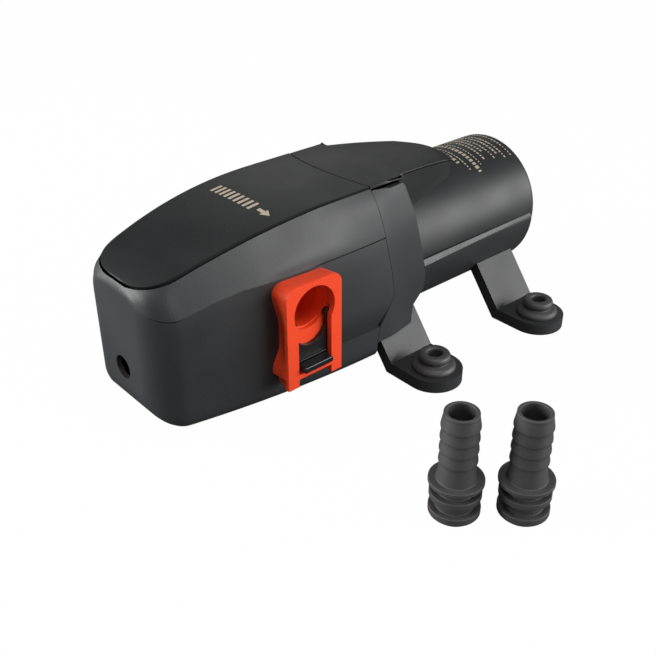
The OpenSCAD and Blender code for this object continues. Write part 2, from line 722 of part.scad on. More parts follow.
// ---- Ports ----
// Children are drawn as seen from outside the -Y port: X to the right, Y up, Z out of the pump,
// with the origin on the port axis in the face plane
module port_place() translate([port_x, -port_face_y, port_z]) rotate([90, 0, 0]) children();

module frame_outline() {
    r = frame_corner_r;
    translate([-frame_w / 2, -frame_drop]) square([frame_w, frame_drop + frame_top - r]);
    translate([-frame_w / 2 + r, 0]) square([frame_w - 2 * r, frame_top]);
    for (side = [-1, 1])
        translate([side * (frame_w / 2 - r), frame_top - r]) circle(r = r);
}

channel_depth = face_t + channel_t;
channel_w = fork_w + 2 * latch_clear;
crossbar_z = 3.4 - frame_drop;
flange_seat = channel_depth + flange_h + 0.1;

module port_frame() color(signal_red) difference() {
    union() {
        difference() {
            port_place() translate([0, 0, -12]) linear_extrude(12) frame_outline();
            head_block();
        }
        intersection() {
            port_neck(0);
            port_place() translate([-20, -40, -14]) cube([40, 60, 14 - channel_depth]);
        }
        port_place() translate([0, 0, port_tube_y - port_face_y])
            cylinder(h = port_face_y - port_tube_y - channel_depth, r = port_bore_r + port_wall);
    }
    port_place() {
        translate([0, 0, -60]) cylinder(h = 90, r = port_bore_r);
        translate([0, 0, -flange_seat]) cylinder(h = 30, r = keyhole_r);
        // keyhole slot down to the crossbar, and the open space between the legs
        translate([-slot_w / 2, crossbar_z + crossbar_h, -channel_depth])
            cube([slot_w, -crossbar_z - crossbar_h, 30]);
        translate([-slot_w / 2, -frame_drop - 1, -12]) cube([slot_w, frame_drop + 1 + crossbar_z, 30]);
        // channel of the latch
        translate([-channel_w / 2, crossbar_z + crossbar_h, -channel_depth])
            cube([channel_w, fork_horn + latch_clear - crossbar_z - crossbar_h, channel_t]);
        translate([0, 0, -channel_depth]) cylinder(h = channel_t, r = channel_w / 2);
        // stepped flanks behind the face
        for (side = [-1, 1])
            translate([side * (frame_w / 2 + 4) - 4.4, -frame_drop - 1, -4.6 - 8])
                cube([8.8, 5.2, 8]);
    }
}

module outlet_frame() port_frame();

module inlet_frame() mirror([0, 1, 0]) port_frame();

module latch() color(charcoal) port_place() difference() {
    union() {
        translate([0, -latch_travel, -channel_depth + latch_clear]) {
            cylinder(h = channel_t - 2 * latch_clear, r = fork_w / 2);
            translate([-fork_w / 2, 0, 0]) cube([fork_w, fork_horn, channel_t - 2 * latch_clear]);
        }
        translate([-fork_w / 2, ledge_z, -channel_depth + latch_clear])
            cube([fork_w, -latch_travel - ledge_z, channel_t - 2 * latch_clear]);
        translate([-slot_w / 2 + latch_clear, ledge_z, -channel_depth + latch_clear + 1])
            cube([slot_w - 2 * latch_clear, ledge_h, channel_depth + ledge_reach - latch_clear - 1]);
    }
    translate([0, -latch_travel, -20]) {
        cylinder(h = 30, r = fork_r);
        translate([-fork_r, 0, 0]) cube([2 * fork_r, 20, 30]);
        translate([0, fork_horn, 0]) cylinder(h = 30, r = fork_w / 2 - 0.6);
    }
}

ledge_z = crossbar_z + crossbar_h + latch_clear;

module outlet_latch() latch();

module inlet_latch() mirror([0, 1, 0]) latch();

// ---- Hose fittings, standing on their plug ends ----
module hose_fitting(at) color(charcoal) translate([at[0], at[1], 0]) rotate_extrude() {
    g1 = end_ring_h + groove_h;
    g2 = g1 + mid_ring_h;
    fl = g2 + groove_h - 0.9;
    cone_top = fl + flange_h + cone_h;
    top = cone_top + barb_count * barb_pitch + 1.2;
    difference() {
        polygon(concat([[0, 0], [ring_r - 1.7, 0], [ring_r, 1.7], [ring_r, end_ring_h],
            [ring_groove_r, end_ring_h], [ring_groove_r, g1], [ring_r, g1], [ring_r, g2],
            [ring_groove_r, g2], [ring_groove_r, fl], [flange_r, fl], [flange_r, fl + flange_h],
            [7.1, fl + flange_h], [barb_root_r, cone_top]],
            [for (i = [0 : barb_count - 1], p = [[barb_r, 0.1], [barb_r, 0.9], [barb_root_r, barb_pitch]])
                [p[0], cone_top + i * barb_pitch + p[1]]],
            [[barb_root_r, top], [0, top]]));
        translate([-1, -1]) square([fitting_bore_r + 1, 100]);
    }
}

module outlet_fitting() hose_fitting(outlet_fitting_at);

module inlet_fitting() hose_fitting(inlet_fitting_at);

// ---- Pump works ----
valve_front_x = drive_front_x - valve_plate_t;
flange_t = 5;
manifold_back_x = valve_front_x - flange_t;
bolt_gap = 0.15;
chamber_r = 7.5;
outlet_pocket_r = 9;
inlet_circle_r = 16;
valve_floor_x = valve_front_x + 3;
chamber_floor_x = drive_front_x - diaphragm_t - 5;

module pump_bolt_places() for (i = [0 : 3])
    translate([0, bolt_circle_r * sin(90 * i), axis_z + bolt_circle_r * cos(90 * i)]) children();

module bolt_holes(r) pump_bolt_places() x_rod(-90, -20, r, 0, 0);

module pump_bolts() color(steel) pump_bolt_places() {
    x_rod(manifold_back_x, can_front_x - 1.5, bolt_d / 2, 0, 0);
    difference() {
        x_rod(manifold_back_x - 3.2, manifold_back_x, 3.4, 0, 0);
        translate([manifold_back_x - 3.6, 0, 0]) rotate([0, 90, 0]) cylinder(h = 2.4, r = 1.8, $fn = 6);
    }
}

module manifold() color(black) difference() {
    union() {
        x_rod(manifold_back_x, valve_front_x, works_r);
        translate([manifold_front_x, -manifold_half_w, 20.4])
            cube([manifold_back_x - manifold_front_x + 1, 2 * manifold_half_w, 42.6]);
    }
    bolt_holes(bolt_d / 2 + bolt_gap);
    // sockets of the port tubes
    mirrored_pair() port_place() translate([0, 0, port_tube_y - port_face_y])
        cylinder(h = 30, r = port_bore_r + port_wall);
    // bores of the two ports, and their passages to the valve plate
    mirrored_pair() port_place() translate([0, 0, 3 - port_face_y]) cylinder(h = 30, r = 7);
    x_rod(port_x - 1, valve_front_x + 1, 4, 12, port_z);
    x_rod(port_x - 1, valve_front_x + 1, 3.2, -4, axis_z + 2);
    // passage to the pressure switch
    translate([port_x, -5, access_z - 1]) cylinder(h = port_z - access_z - 3, r = 2);
    x_rod(manifold_front_x - 1, port_x, 2, -5, access_z);
    // weight-saving pockets
    mirrored_pair() translate([manifold_front_x + 5, 5, 17]) cube([9, 12, 12]);
    mirrored_pair() translate([manifold_front_x + 25, 5, 17]) cube([9, 12, 16]);
}

module valve_plate() color(tan_plastic) difference() {
    x_rod(valve_front_x, drive_front_x, works_r);
    bolt_holes(bolt_d / 2 + bolt_gap);
    x_rod(drive_front_x - diaphragm_t, 0, diaphragm_r);
    x_rod(valve_front_x - 1, valve_floor_x, outlet_pocket_r);
    x_tube(valve_front_x - 1, valve_floor_x, 20.5, 12);
    x_rod(valve_floor_x - 1, valve_floor_x + 6, 1.5);
    round_axis(piston_count, piston_circle_r)
        x_rod(chamber_floor_x, 0, chamber_r, 0, 0);
    round_axis(piston_count, 7.3) x_rod(valve_floor_x - 1, chamber_floor_x + 1, 1.2, 0, 0);
    round_axis(piston_count, inlet_circle_r) {
        x_rod(valve_floor_x - 1, chamber_floor_x + 1, 1, 0, 0);
        for (side = [-1, 1])
            x_rod(valve_floor_x - 1, chamber_floor_x + 1, 0.9, side * 2.2, 0);
    }
}

module inlet_valves() color(rubber) round_axis(piston_count, inlet_circle_r) {
    x_rod(chamber_floor_x, chamber_floor_x + 0.8, 3.4, 0, 0);
    x_rod(valve_floor_x, chamber_floor_x, 1, 0, 0);
}

module outlet_valve() color(rubber) {
    x_rod(valve_floor_x - 0.8, valve_floor_x, outlet_pocket_r - 0.6);
    x_rod(valve_floor_x, valve_floor_x + 5.5, 1.5);
}

diaphragm_r = 23.5;
button_stem_r = 2.2;

module diaphragm() color(rubber) difference() {
    x_rod(drive_front_x - diaphragm_t, drive_front_x, diaphragm_r);
    round_axis(piston_count, piston_circle_r) x_rod(-60, 0, button_stem_r, 0, 0);
    // thin flexing rings round each piston
    round_axis(piston_count, piston_circle_r)
        x_tube(drive_front_x - 1.2, 0, chamber_r, 5.5, 0, 0);
}

module piston_buttons() color(white_plastic) round_axis(piston_count, piston_circle_r) {
    x_rod(drive_front_x - diaphragm_t - 2, drive_front_x - diaphragm_t, 5.5, 0, 0);
    x_rod(drive_front_x - diaphragm_t, drive_front_x + 3, button_stem_r, 0, 0);
}

cam_front_x = -43.5;
cam_back_x = -36;
cam_r = 7;
cam_tilt = 3;

module wobble_plate() color(tan_plastic) difference() {
    union() {
        x_rod(cam_front_x - 0.5, cam_back_x, bearing_d / 2 + 3);
        x_rod(-47, cam_front_x - 0.5, 18);
        round_axis(piston_count, piston_circle_r) x_rod(drive_front_x, -46, 5.4, 0, 0);
    }
    x_rod(cam_front_x - 0.5, 0, bearing_d / 2);
    round_axis(piston_count, piston_circle_r) x_rod(-60, drive_front_x + 3.4, button_stem_r, 0, 0);
}

module cam_bearing() color(steel) difference() {
    x_rod(cam_front_x - 0.5, cam_back_x, bearing_d / 2);
    x_rod(cam_front_x, 0, cam_r + 0.55);
    x_rod(-60, 0, cam_r - 1);
}

module eccentric_hub() color(iron) difference() {
    union() {
        intersection() {
            translate([(cam_front_x + cam_back_x) / 2, 0, axis_z]) rotate([0, 90 + cam_tilt, 0])
                cylinder(h = 14, r = cam_r, center = true);
            x_rod(cam_front_x + 0.3, cam_back_x, cam_r + 2);
        }
        x_rod(cam_back_x - 0.5, -32, cam_r - 1);
        intersection() {
            x_rod(-35, -32, 15);
            translate([-40, -20, axis_z - 20]) cube([10, 40, 20]);
        }
    }
    x_rod(-60, 0, shaft_d / 2);
}

module drive_housing() color(black) difference() {
    x_rod(drive_front_x, can_front_x - end_plate_t, works_r);
    x_rod(-60, 0, works_r - 7);
    bolt_holes(bolt_d / 2 + bolt_gap);
}

// ---- Pressure switch ----
switch_front_x = manifold_front_x - 22;
switch_diaphragm_t = 1.2;
screw_r = 3;

module switch_body() color(black) difference() {
    x_rod(switch_front_x, manifold_front_x, switch_r, 0, access_z);
    x_rod(switch_front_x + 5, 0, switch_r - 3, 0, access_z);
    x_rod(manifold_front_x - switch_diaphragm_t, 0, switch_r - 1.5, 0, access_z);
    x_rod(-140, 0, screw_r + 0.05, 0, access_z);
}

module switch_diaphragm() color(rubber)
    x_rod(manifold_front_x - switch_diaphragm_t, manifold_front_x, switch_r - 1.5, 0, access_z);

plunger_x = manifold_front_x - switch_diaphragm_t;

module switch_plunger() color(white_plastic) {
    x_rod(plunger_x - 2, plunger_x, switch_r - 3.2, 0, access_z);
    x_rod(plunger_x - 6, plunger_x - 1.5, 2, 0, access_z);
}

module switch_spring() color(steel) translate([plunger_x - 8.6, 0, access_z]) rotate([0, 90, 0])
    spring(5.2, 3.6, 0.4, 3);

module adjusting_screw() color(brass) {
    x_rod(plunger_x - 10.2, plunger_x - 8.6, 4.8, 0, access_z);
    x_rod(front_x + 8, plunger_x - 9, screw_r, 0, access_z);
    difference() {
        x_rod(front_x + 5, front_x + 9, 4, 0, access_z);
        translate([front_x + 4, -5, access_z - 0.6]) cube([2.4, 10, 1.2]);
    }
}

module micro_switch() color(black) {
    translate([switch_front_x + 2, -5, access_z + switch_r - 0.4]) difference() {
        cube([18, 10, 11]);
        translate([-1, -1, -1]) cube([20, 12, 1.4]);
    }
    for (x = [5, 10, 15])
        translate([switch_front_x + x, -1.5, access_z + switch_r + 10]) cube([0.6, 3, 5]);
}

lower_shell();
upper_shell();
top_cover();
tail_cover();
drive_collar();
motor_can();
motor_cradle();
foot_grommets();
outlet_frame();
inlet_frame();
outlet_latch();
inlet_latch();
outlet_fitting();
inlet_fitting();
manifold();
valve_plate();
inlet_valves();
outlet_valve();
diaphragm();
piston_buttons();
wobble_plate();
cam_bearing();
drive_housing();
eccentric_hub();
pump_bolts();
motor_front_plate();
front_bearing();
rear_bearing();
motor_shaft();
armature_core();
armature_windings();
commutator();
field_magnets();
brush_plate();
carbon_brushes();
brush_springs();
through_bolts();
switch_body();
switch_diaphragm();
switch_plunger();
switch_spring();
adjusting_screw();
micro_switch();
cable_grommet();
shell_screws();
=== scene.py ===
# %% [markdown]
# # An electric in-line pump with two loose hose fittings
#
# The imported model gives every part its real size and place, in metres, with the origin on the ground
# between the four feet. This script keeps that model as a fixed frame. It gives each part a finish,
# and stands smoother, finer pieces in for those whose surfaces are moulded or turned.

# %% Load the frame
import math
from contextlib import contextmanager

import bmesh
import bpy
from mathutils import Matrix, Vector


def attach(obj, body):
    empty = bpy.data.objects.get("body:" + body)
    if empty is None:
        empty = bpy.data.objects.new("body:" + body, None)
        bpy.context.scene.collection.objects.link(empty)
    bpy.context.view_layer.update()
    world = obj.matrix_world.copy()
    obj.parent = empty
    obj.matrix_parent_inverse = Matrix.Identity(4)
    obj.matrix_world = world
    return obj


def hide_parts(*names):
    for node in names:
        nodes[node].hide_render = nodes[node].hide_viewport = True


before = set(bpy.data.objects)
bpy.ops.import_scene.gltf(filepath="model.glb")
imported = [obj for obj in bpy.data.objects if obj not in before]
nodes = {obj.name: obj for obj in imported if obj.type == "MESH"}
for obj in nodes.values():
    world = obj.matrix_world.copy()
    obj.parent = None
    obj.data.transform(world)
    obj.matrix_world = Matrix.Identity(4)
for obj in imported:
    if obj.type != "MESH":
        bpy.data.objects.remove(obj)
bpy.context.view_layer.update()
MM = 0.001
print("parts in the frame:", len(nodes))

# %% [markdown]
# ## Camera
#
# The pump is seen from a little above and from its front corner. The camera's place is given in plain
# measures: how far round, how far up, how far away, and what it points at.

# %% Camera
AZIMUTH = -41.06
ELEVATION = 31.19
ROLL = -0.26
DISTANCE = 397.29 * MM
TARGET = Vector((-60.7, -17.04, 18.59)) * MM
LENS_IN_PIXELS = 934.78
PICTURE_W = 656


def place_camera():
    data = bpy.data.cameras.new("camera")
    data.sensor_width = 36
    data.lens = LENS_IN_PIXELS * data.sensor_width / PICTURE_W
    data.clip_start = 0.01
    camera = bpy.data.objects.new("camera", data)
    bpy.context.scene.collection.objects.link(camera)
    turn = (Matrix.Rotation(math.radians(AZIMUTH), 4, "Z")
            @ Matrix.Rotation(math.radians(90 - ELEVATION), 4, "X")
            @ Matrix.Rotation(math.radians(ROLL), 4, "Z"))
    back = turn.to_3x3() @ Vector((0, 0, 1))
    camera.matrix_world = Matrix.Translation(TARGET + back * DISTANCE) @ turn
    bpy.context.scene.camera = camera
    return camera


camera = place_camera()
print("camera stands at", [round(v, 3) for v in camera.matrix_world.translation])

# %% [markdown]
# ## Light
#
# Black satin plastic shows little but the lights it mirrors. So the lamps are large and soft, and each
# has one job: the side light runs along the shoulders and the motor, the front light brings out the
# front face, the top light reaches the port frames and the feet, and a weak back light glides over the
# cover, which stays the darkest part.

# %% Lamps
scene = bpy.context.scene
scene.view_settings.view_transform = "Standard"


def area_lamp(name, place, aim, size, power):
    data = bpy.data.lights.new(name, "AREA")
    data.shape = "RECTANGLE"
    data.size, data.size_y = size
    data.energy = power
    lamp = bpy.data.objects.new(name, data)
    bpy.context.scene.collection.objects.link(lamp)
    lamp.location = place
    lamp.rotation_euler = (Vector(aim) - Vector(place)).to_track_quat("-Z", "Y").to_euler()
    return lamp


area_lamp("top_light", (-0.2, -0.35, 1.0), (-0.06, -0.03, 0.04), (0.9, 0.7), 6)
area_lamp("back_light", (0.6, 0.75, 0.6), (-0.03, 0, 0.07), (0.7, 0.5), 0.8)
area_lamp("front_light", (-1.0, 0.6, 0.36), (-0.1, 0, 0.05), (0.7, 0.5), 22)
area_lamp("side_light", (0.85, -1.35, 0.46), (-0.03, 0, 0.05), (1.6, 0.8), 36)
area_lamp("fill_light", (-1.0, -0.95, 0.4), (-0.08, 0, 0.05), (1.0, 0.6), 1.5)

# %% [markdown]
# The pump has to stand before white, but a white world would light it from all sides and wash out its
# blacks. So the world asks who is looking: the camera sees white, and every other ray finds only a weak
# even light. Two helpers, used here and later, add a node with its values and link nodes.

# %% World
def add_node(tree, kind, values=None, **settings):
    """Adds a node with its settings and the values of its inputs."""
    node = tree.nodes.new(kind)
    for name, value in settings.items():
        setattr(node, name, value)
    for name, value in (values or {}).items():
        node.inputs[name].default_value = value
    return node


def wire(tree, *links):
    """Links outputs to inputs. Each link is given as (node, output, node, input)."""
    for source, output, target, socket in links:
        tree.links.new(source.outputs[output], target.inputs[socket])


def make_world(camera_strength, light_strength):
    """White to the camera, and a weak even light to everything else."""
    world = bpy.data.worlds.new("studio")
    scene.world = world
    world.use_nodes = True
    tree = world.node_tree
    tree.nodes.clear()
    white = (1, 1, 1, 1)
    out = add_node(tree, "ShaderNodeOutputWorld")
    seen = add_node(tree, "ShaderNodeBackground", {"Color": white, "Strength": camera_strength})
    lit = add_node(tree, "ShaderNodeBackground", {"Color": white, "Strength": light_strength})
    path = add_node(tree, "ShaderNodeLightPath")
    choose = add_node(tree, "ShaderNodeMixShader")
    wire(tree, (path, "Is Camera Ray", choose, "Fac"), (lit, "Background", choose, 1),
         (seen, "Background", choose, 2), (choose, "Shader", out, "Surface"))


make_world(1.0, 0.1)
print("world made:", scene.world.name)

# %% [markdown]
# ## Floor
#
# The pump stands on a plain sweep. The floor looks white to the camera whatever light falls on it, and
# only darkens a little under the feet. To all other rays it is grey, so the undersides stay dark.

# %% Floor
FLOOR_HALF = 3.0
PAPER_GREY, GLOW, GLOW_SHARE = 0.12, 1.06, 0.93


def make_floor():
    mesh = bpy.data.meshes.new("floor")
    corners = [(-FLOOR_HALF, -FLOOR_HALF, 0), (FLOOR_HALF, -FLOOR_HALF, 0),
               (FLOOR_HALF, FLOOR_HALF, 0), (-FLOOR_HALF, FLOOR_HALF, 0)]
    mesh.from_pydata(corners, [], [(0, 1, 2, 3)])
    floor = bpy.data.objects.new("floor", mesh)
    scene.collection.objects.link(floor)
    material = bpy.data.materials.new("white_sweep")
    material.use_nodes = True
    tree = material.node_tree
    tree.nodes.clear()
    out = add_node(tree, "ShaderNodeOutputMaterial")
    paper = add_node(tree, "ShaderNodeBsdfDiffuse", {"Color": (PAPER_GREY, PAPER_GREY, PAPER_GREY, 1)})
    glow = add_node(tree, "ShaderNodeEmission", {"Strength": GLOW})
    path = add_node(tree, "ShaderNodeLightPath")
    both = add_node(tree, "ShaderNodeMixShader")
    share = add_node(tree, "ShaderNodeMath", {1: GLOW_SHARE}, operation="MULTIPLY")
    wire(tree, (path, "Is Camera Ray", share, 0), (share, "Value", both, "Fac"), (paper, "BSDF", both, 1),
         (glow, "Emission", both, 2), (both, "Shader", out, "Surface"))
    mesh.materials.append(material)
    return floor


print("floor laid:", make_floor().name)

# %% [markdown]
# ## Finishes
#
# Most of the pump is black nylon with a fine spark-eroded grain. One function makes every finish from
# a colour, a roughness and the size of its grain. A slow noise varies tone and gloss over a few
# centimetres, as moulding does. The grain is only a bump, so it stays sharp close up and needs no
# picture.

# %% Finishes
TONE_SCALE, GRAIN_SCALE, GRAIN_DEPTH = 38, 2500, 0.2 * MM


def finish(name, colour, roughness, metal=0.0, grain=0.0, change=0.12):
    """A grained finish whose tone and roughness change a little over a few centimetres."""
    material = bpy.data.materials.new(name)
    material.use_nodes = True
    tree = material.node_tree
    shader = tree.nodes["Principled BSDF"]
    shader.inputs["Metallic"].default_value = metal
    less, more = 1 - change, 1 + change
    place = add_node(tree, "ShaderNodeTexCoord")
    slow = add_node(tree, "ShaderNodeTexNoise", {"Scale": TONE_SCALE, "Detail": 4})
    dull = add_node(tree, "ShaderNodeMapRange", {
        "From Min": 0.3, "From Max": 0.7, "To Min": roughness * less, "To Max": roughness * more})
    tone = add_node(tree, "ShaderNodeMix", {
        "A": (*(c * less for c in colour), 1), "B": (*(c * more for c in colour), 1)}, data_type="RGBA")
    wire(tree, (place, "Object", slow, "Vector"), (slow, "Fac", dull, "Value"),
         (dull, "Result", shader, "Roughness"), (slow, "Fac", tone, "Factor"),
         (tone, "Result", shader, "Base Color"))
    if grain:
        noise = add_node(tree, "ShaderNodeTexNoise", {"Scale": GRAIN_SCALE, "Detail": 3})
        bump = add_node(tree, "ShaderNodeBump", {"Strength": grain, "Distance": GRAIN_DEPTH})
        wire(tree, (place, "Object", noise, "Vector"), (noise, "Fac", bump, "Height"),
             (bump, "Normal", shader, "Normal"))
    return material


casing_black = finish("casing_black", (0.0165, 0.0175, 0.019), 0.52, grain=0.3)
cover_black = finish("cover_black", (0.007, 0.0075, 0.0082), 0.45, grain=0.35)
motor_black = finish("motor_black", (0.0115, 0.0122, 0.0132), 0.49, grain=0.15)
leg_black = finish("leg_black", (0.021, 0.0218, 0.023), 0.46, grain=0.25)
latch_black = finish("latch_black", (0.008, 0.0085, 0.009), 0.28, grain=0.1)
rubber_black = finish("rubber_black", (0.043, 0.0425, 0.043), 0.5, grain=0.2)
frame_red = finish("frame_red", (0.78, 0.06, 0.016), 0.36, grain=0.08, change=0.06)
fitting_grey = finish("fitting_grey", (0.037, 0.037, 0.038), 0.6, grain=0.4)
inner_black = finish("inner_black", (0.03, 0.03, 0.03), 0.5)
bright_steel = finish("bright_steel", (0.6, 0.61, 0.63), 0.3, metal=1.0)
dark_iron = finish("dark_iron", (0.16, 0.16, 0.17), 0.5, metal=0.8)
copper_wire = finish("copper_wire", (0.62, 0.3, 0.17), 0.35, metal=1.0)
brass_bar = finish("brass_bar", (0.72, 0.53, 0.25), 0.3, metal=1.0)
pale_nylon = finish("pale_nylon", (0.55, 0.53, 0.46), 0.5)
mark_paint = finish("mark_paint", (0.33, 0.285, 0.22), 0.6)

NODE_FINISH = {
    casing_black: ["drive_collar"],
    motor_black: ["motor_can"],
    leg_black: ["motor_cradle"],
    inner_black: ["manifold", "drive_housing", "switch_body", "micro_switch"],
    rubber_black: ["cable_grommet", "inlet_valves", "outlet_valve", "diaphragm", "switch_diaphragm"],
    bright_steel: ["pump_bolts", "front_bearing", "rear_bearing", "motor_shaft", "cam_bearing",
                   "through_bolts", "brush_springs", "switch_spring", "shell_screws"],
    dark_iron: ["motor_front_plate", "armature_core", "field_magnets", "eccentric_hub", "carbon_brushes"],
    copper_wire: ["armature_windings", "commutator"],
    brass_bar: ["adjusting_screw"],
    pale_nylon: ["valve_plate", "wobble_plate", "brush_plate", "piston_buttons", "switch_plunger"],
}
for material, names in NODE_FINISH.items():
    for name in names:
        mesh = nodes[name].data
        mesh.materials.clear()
        mesh.materials.append(material)
print("plain finishes given to", sum(len(n) for n in NODE_FINISH.values()), "parts")

# %% [markdown]
# ## The moulded surface of the head
#
# The head widens, rises and rounds over as it runs back, so it is described by rules along its length
# and not by a block. Each rule below says one thing about a cross-section at x: how wide it is, where
# its floor and its top are, and how high the crease along its side runs. All of them are in
# millimetres, like a drawing.

# %% Rules of the head's form
FRONT_X = -148.6
HEAD_HALF_W, WIDEST_X, SIDE_ARC_R, REAR_TAPER = 36.8, -42.0, 436.0, 0.177
CORNER_R, CHIN_R, LOWER_EDGE_R = 11.4, 12.5, 4.8
FLOOR_Z, TOP_Z = 8.4, 81.2
CREST_X, CREST_ARC_R = -67.4, 221.0
SHOULDER_Z, SHOULDER_RISE, SHOULDER_L = 62.2, 6.5, 5.5
CREASE_FRONT, CREASE_REAR, CREASE_TOP_Z = (-138.0, 56.1, 0.272), (-124.4, 59.8, 0.148), 64.5
COVER_HALF_W, COVER_PLAN_X, COVER_PLAN_R = 24.9, -80.0, 358.0
COVER_FRONT_X = FRONT_X + 1.6
COVER_FRONT_L = 14.0
COVER_T, CROWN, GROOVE = 2.4, 1.4, 0.6
JOINT_Z = 61.5
AXIS_Z = 41.4

# a collar joint: its x at the height RIM_Z, then steps as (how far forward, height over RIM_Z)
RIM_Z = 35.0
SEAM = (-40.1, [(6.7, 57), (4, 26), (0, 0), (4.4, -5.8), (8.8, -11.8), (9.9, -18), (10.5, -30)])
RIM = (-17.7, [(15, 44.6), (11.4, 44), (9.6, 43.1), (8.8, 41.6), (6.3, 32), (1.6, 8.8), (0, 0),
               (1, -6), (8.9, -11), (10.4, -19), (11, -30)])


def mix(a, b, s):
    return a + (b - a) * s


def clamp(v, low=0.0, high=1.0):
    return max(low, min(high, v))


def arc_drop(r, d):
    """How far an arc of radius r has dropped at a distance d from its crest."""
    return 0.0 if d <= 0 else r - math.sqrt(max(0.0, r * r - min(d, r) ** 2))


def half_width(x):
    """The head bows out along its length, tapers a little at the rear and has round front corners."""
    bow = max(0, WIDEST_X - x) ** 2 / (2 * SIDE_ARC_R)
    return (HEAD_HALF_W - bow - REAR_TAPER * max(0, x - WIDEST_X)
            - arc_drop(CORNER_R, FRONT_X + CORNER_R - x))


def cover_half(x):
    """Half width of the long cover, with its blunt round end."""
    x = max(x, COVER_FRONT_X + 0.02)
    s = clamp((x - COVER_FRONT_X) / COVER_FRONT_L)
    blunt = (1 - (1 - s) ** 3) ** (1 / 3)
    return (COVER_HALF_W - max(0, COVER_PLAN_X - x) ** 2 / (2 * COVER_PLAN_R)) * blunt


def floor_z(x):
    return FLOOR_Z + arc_drop(CHIN_R, FRONT_X + CHIN_R - x)


def edge_z(x):
    """Height of the seat of the cover: a long crest that rolls over just behind the front face."""
    crest = TOP_Z - max(0, CREST_X - x) ** 2 / (2 * CREST_ARC_R)
    u = clamp((FRONT_X + SHOULDER_L - x) / SHOULDER_L)
    shoulder = SHOULDER_Z + SHOULDER_RISE * math.sqrt(1 - u * u)
    return min(crest, shoulder) if x < FRONT_X + SHOULDER_L else crest


def crease_z(x):
    """The crease rises in two straight runs, and sweeps up at the front corner."""
    (x0, z0, slope0), (x1, z1, slope1) = CREASE_FRONT, CREASE_REAR
    if x < x0:
        return z0 + 0.0036 * (x0 - x) ** 3
    return min(z0 + slope0 * (x - x0), z1 + slope1 * (x - x1), CREASE_TOP_Z)


def step_x(joint, z):
    """Where a collar joint lies at height z: a chain of straight steps."""
    rear, steps = joint
    for (a, za), (b, zb) in zip(steps, steps[1:]):
        if z - RIM_Z >= zb:
            return rear - mix(a, b, clamp((z - RIM_Z - za) / (zb - za)))
    return rear - steps[-1][0]


print("head is", 2 * HEAD_HALF_W, "mm wide and starts at", FRONT_X)

# %% [markdown]
# ## Cross-sections
#
# A cross-section is first drawn with a few corner points. Each corner is then eased over a reach of its
# own: the crease along the side stays tight, and the shoulder above it is wide. A skin needs the same
# count of points in every section, so each eased line has its points set anew at equal distances.

# %% Lines with eased corners
def bend(start, corner, end, steps):
    """Points of a curve from start to end that is drawn towards a corner."""
    return [tuple(start * (1 - t) ** 2 + corner * 2 * t * (1 - t) + end * t * t)
            for t in (k / steps for k in range(steps + 1))]


def ease_corners(points, reaches, steps=5):
    """Replaces each inner corner of an open line by a short curve with the given reach."""
    line = [points[0]]
    for a, p, b, reach in zip(points, points[1:], points[2:], reaches):
        corner = Vector(p)
        to_a, to_b = Vector(a) - corner, Vector(b) - corner
        start = corner + to_a.normalized() * min(reach, to_a.length * 0.48)
        end = corner + to_b.normalized() * min(reach, to_b.length * 0.48)
        line += bend(start, corner, end, steps)
    return line + [points[-1]]


def spread(line, count):
    """The same line with its points set at equal distances."""
    lengths = [0.0]
    for a, b in zip(line, line[1:]):
        lengths.append(lengths[-1] + math.dist(a, b))
    result, k = [], 0
    for i in range(count + 1):
        want = lengths[-1] * i / count
        while k < len(line) - 2 and lengths[k + 1] < want:
            k += 1
        s = clamp((want - lengths[k]) / max(1e-9, lengths[k + 1] - lengths[k]))
        result.append((mix(line[k][0], line[k + 1][0], s), mix(line[k][1], line[k + 1][1], s)))
    return result


def parted(line, z_joint):
    """The parts of a rising line below and above a height."""
    for i, (a, b) in enumerate(zip(line, line[1:])):
        if a[1] <= z_joint <= b[1]:
            s = (z_joint - a[1]) / max(1e-9, b[1] - a[1])
            point = (mix(a[0], b[0], s), z_joint)
            return line[:i + 1] + [point], [point] + line[i + 1:]
    return line[:-1], line[-2:]


print("points in place of a corner:", len(ease_corners([(0, 0), (9, 0), (9, 9)], [3])) - 2)

# %% [markdown]
# The two shells part along the crease as far as it stays below the joint's own height, and run level
# behind it, so a section is drawn in two parts that meet there. Behind the port frame the flank is drawn
# in a little, down to a fine ledge: two points of each section are set on its edge, so that the step
# stays sharp.

# %% Cross-sections
def joint_z(x):
    return min(crease_z(x), JOINT_Z)


def crown(x, k):
    """Rise of the cover at a share k of its half width: it is flatter where the cover is narrow."""
    return CROWN * (cover_half(x) / COVER_HALF_W) ** 2 * (1 - k * k)


FLANK_COUNT, SHOULDER_COUNT = 22, 16
REAR_START_X, REAR_L, FRONT_L = -105, 63, 12


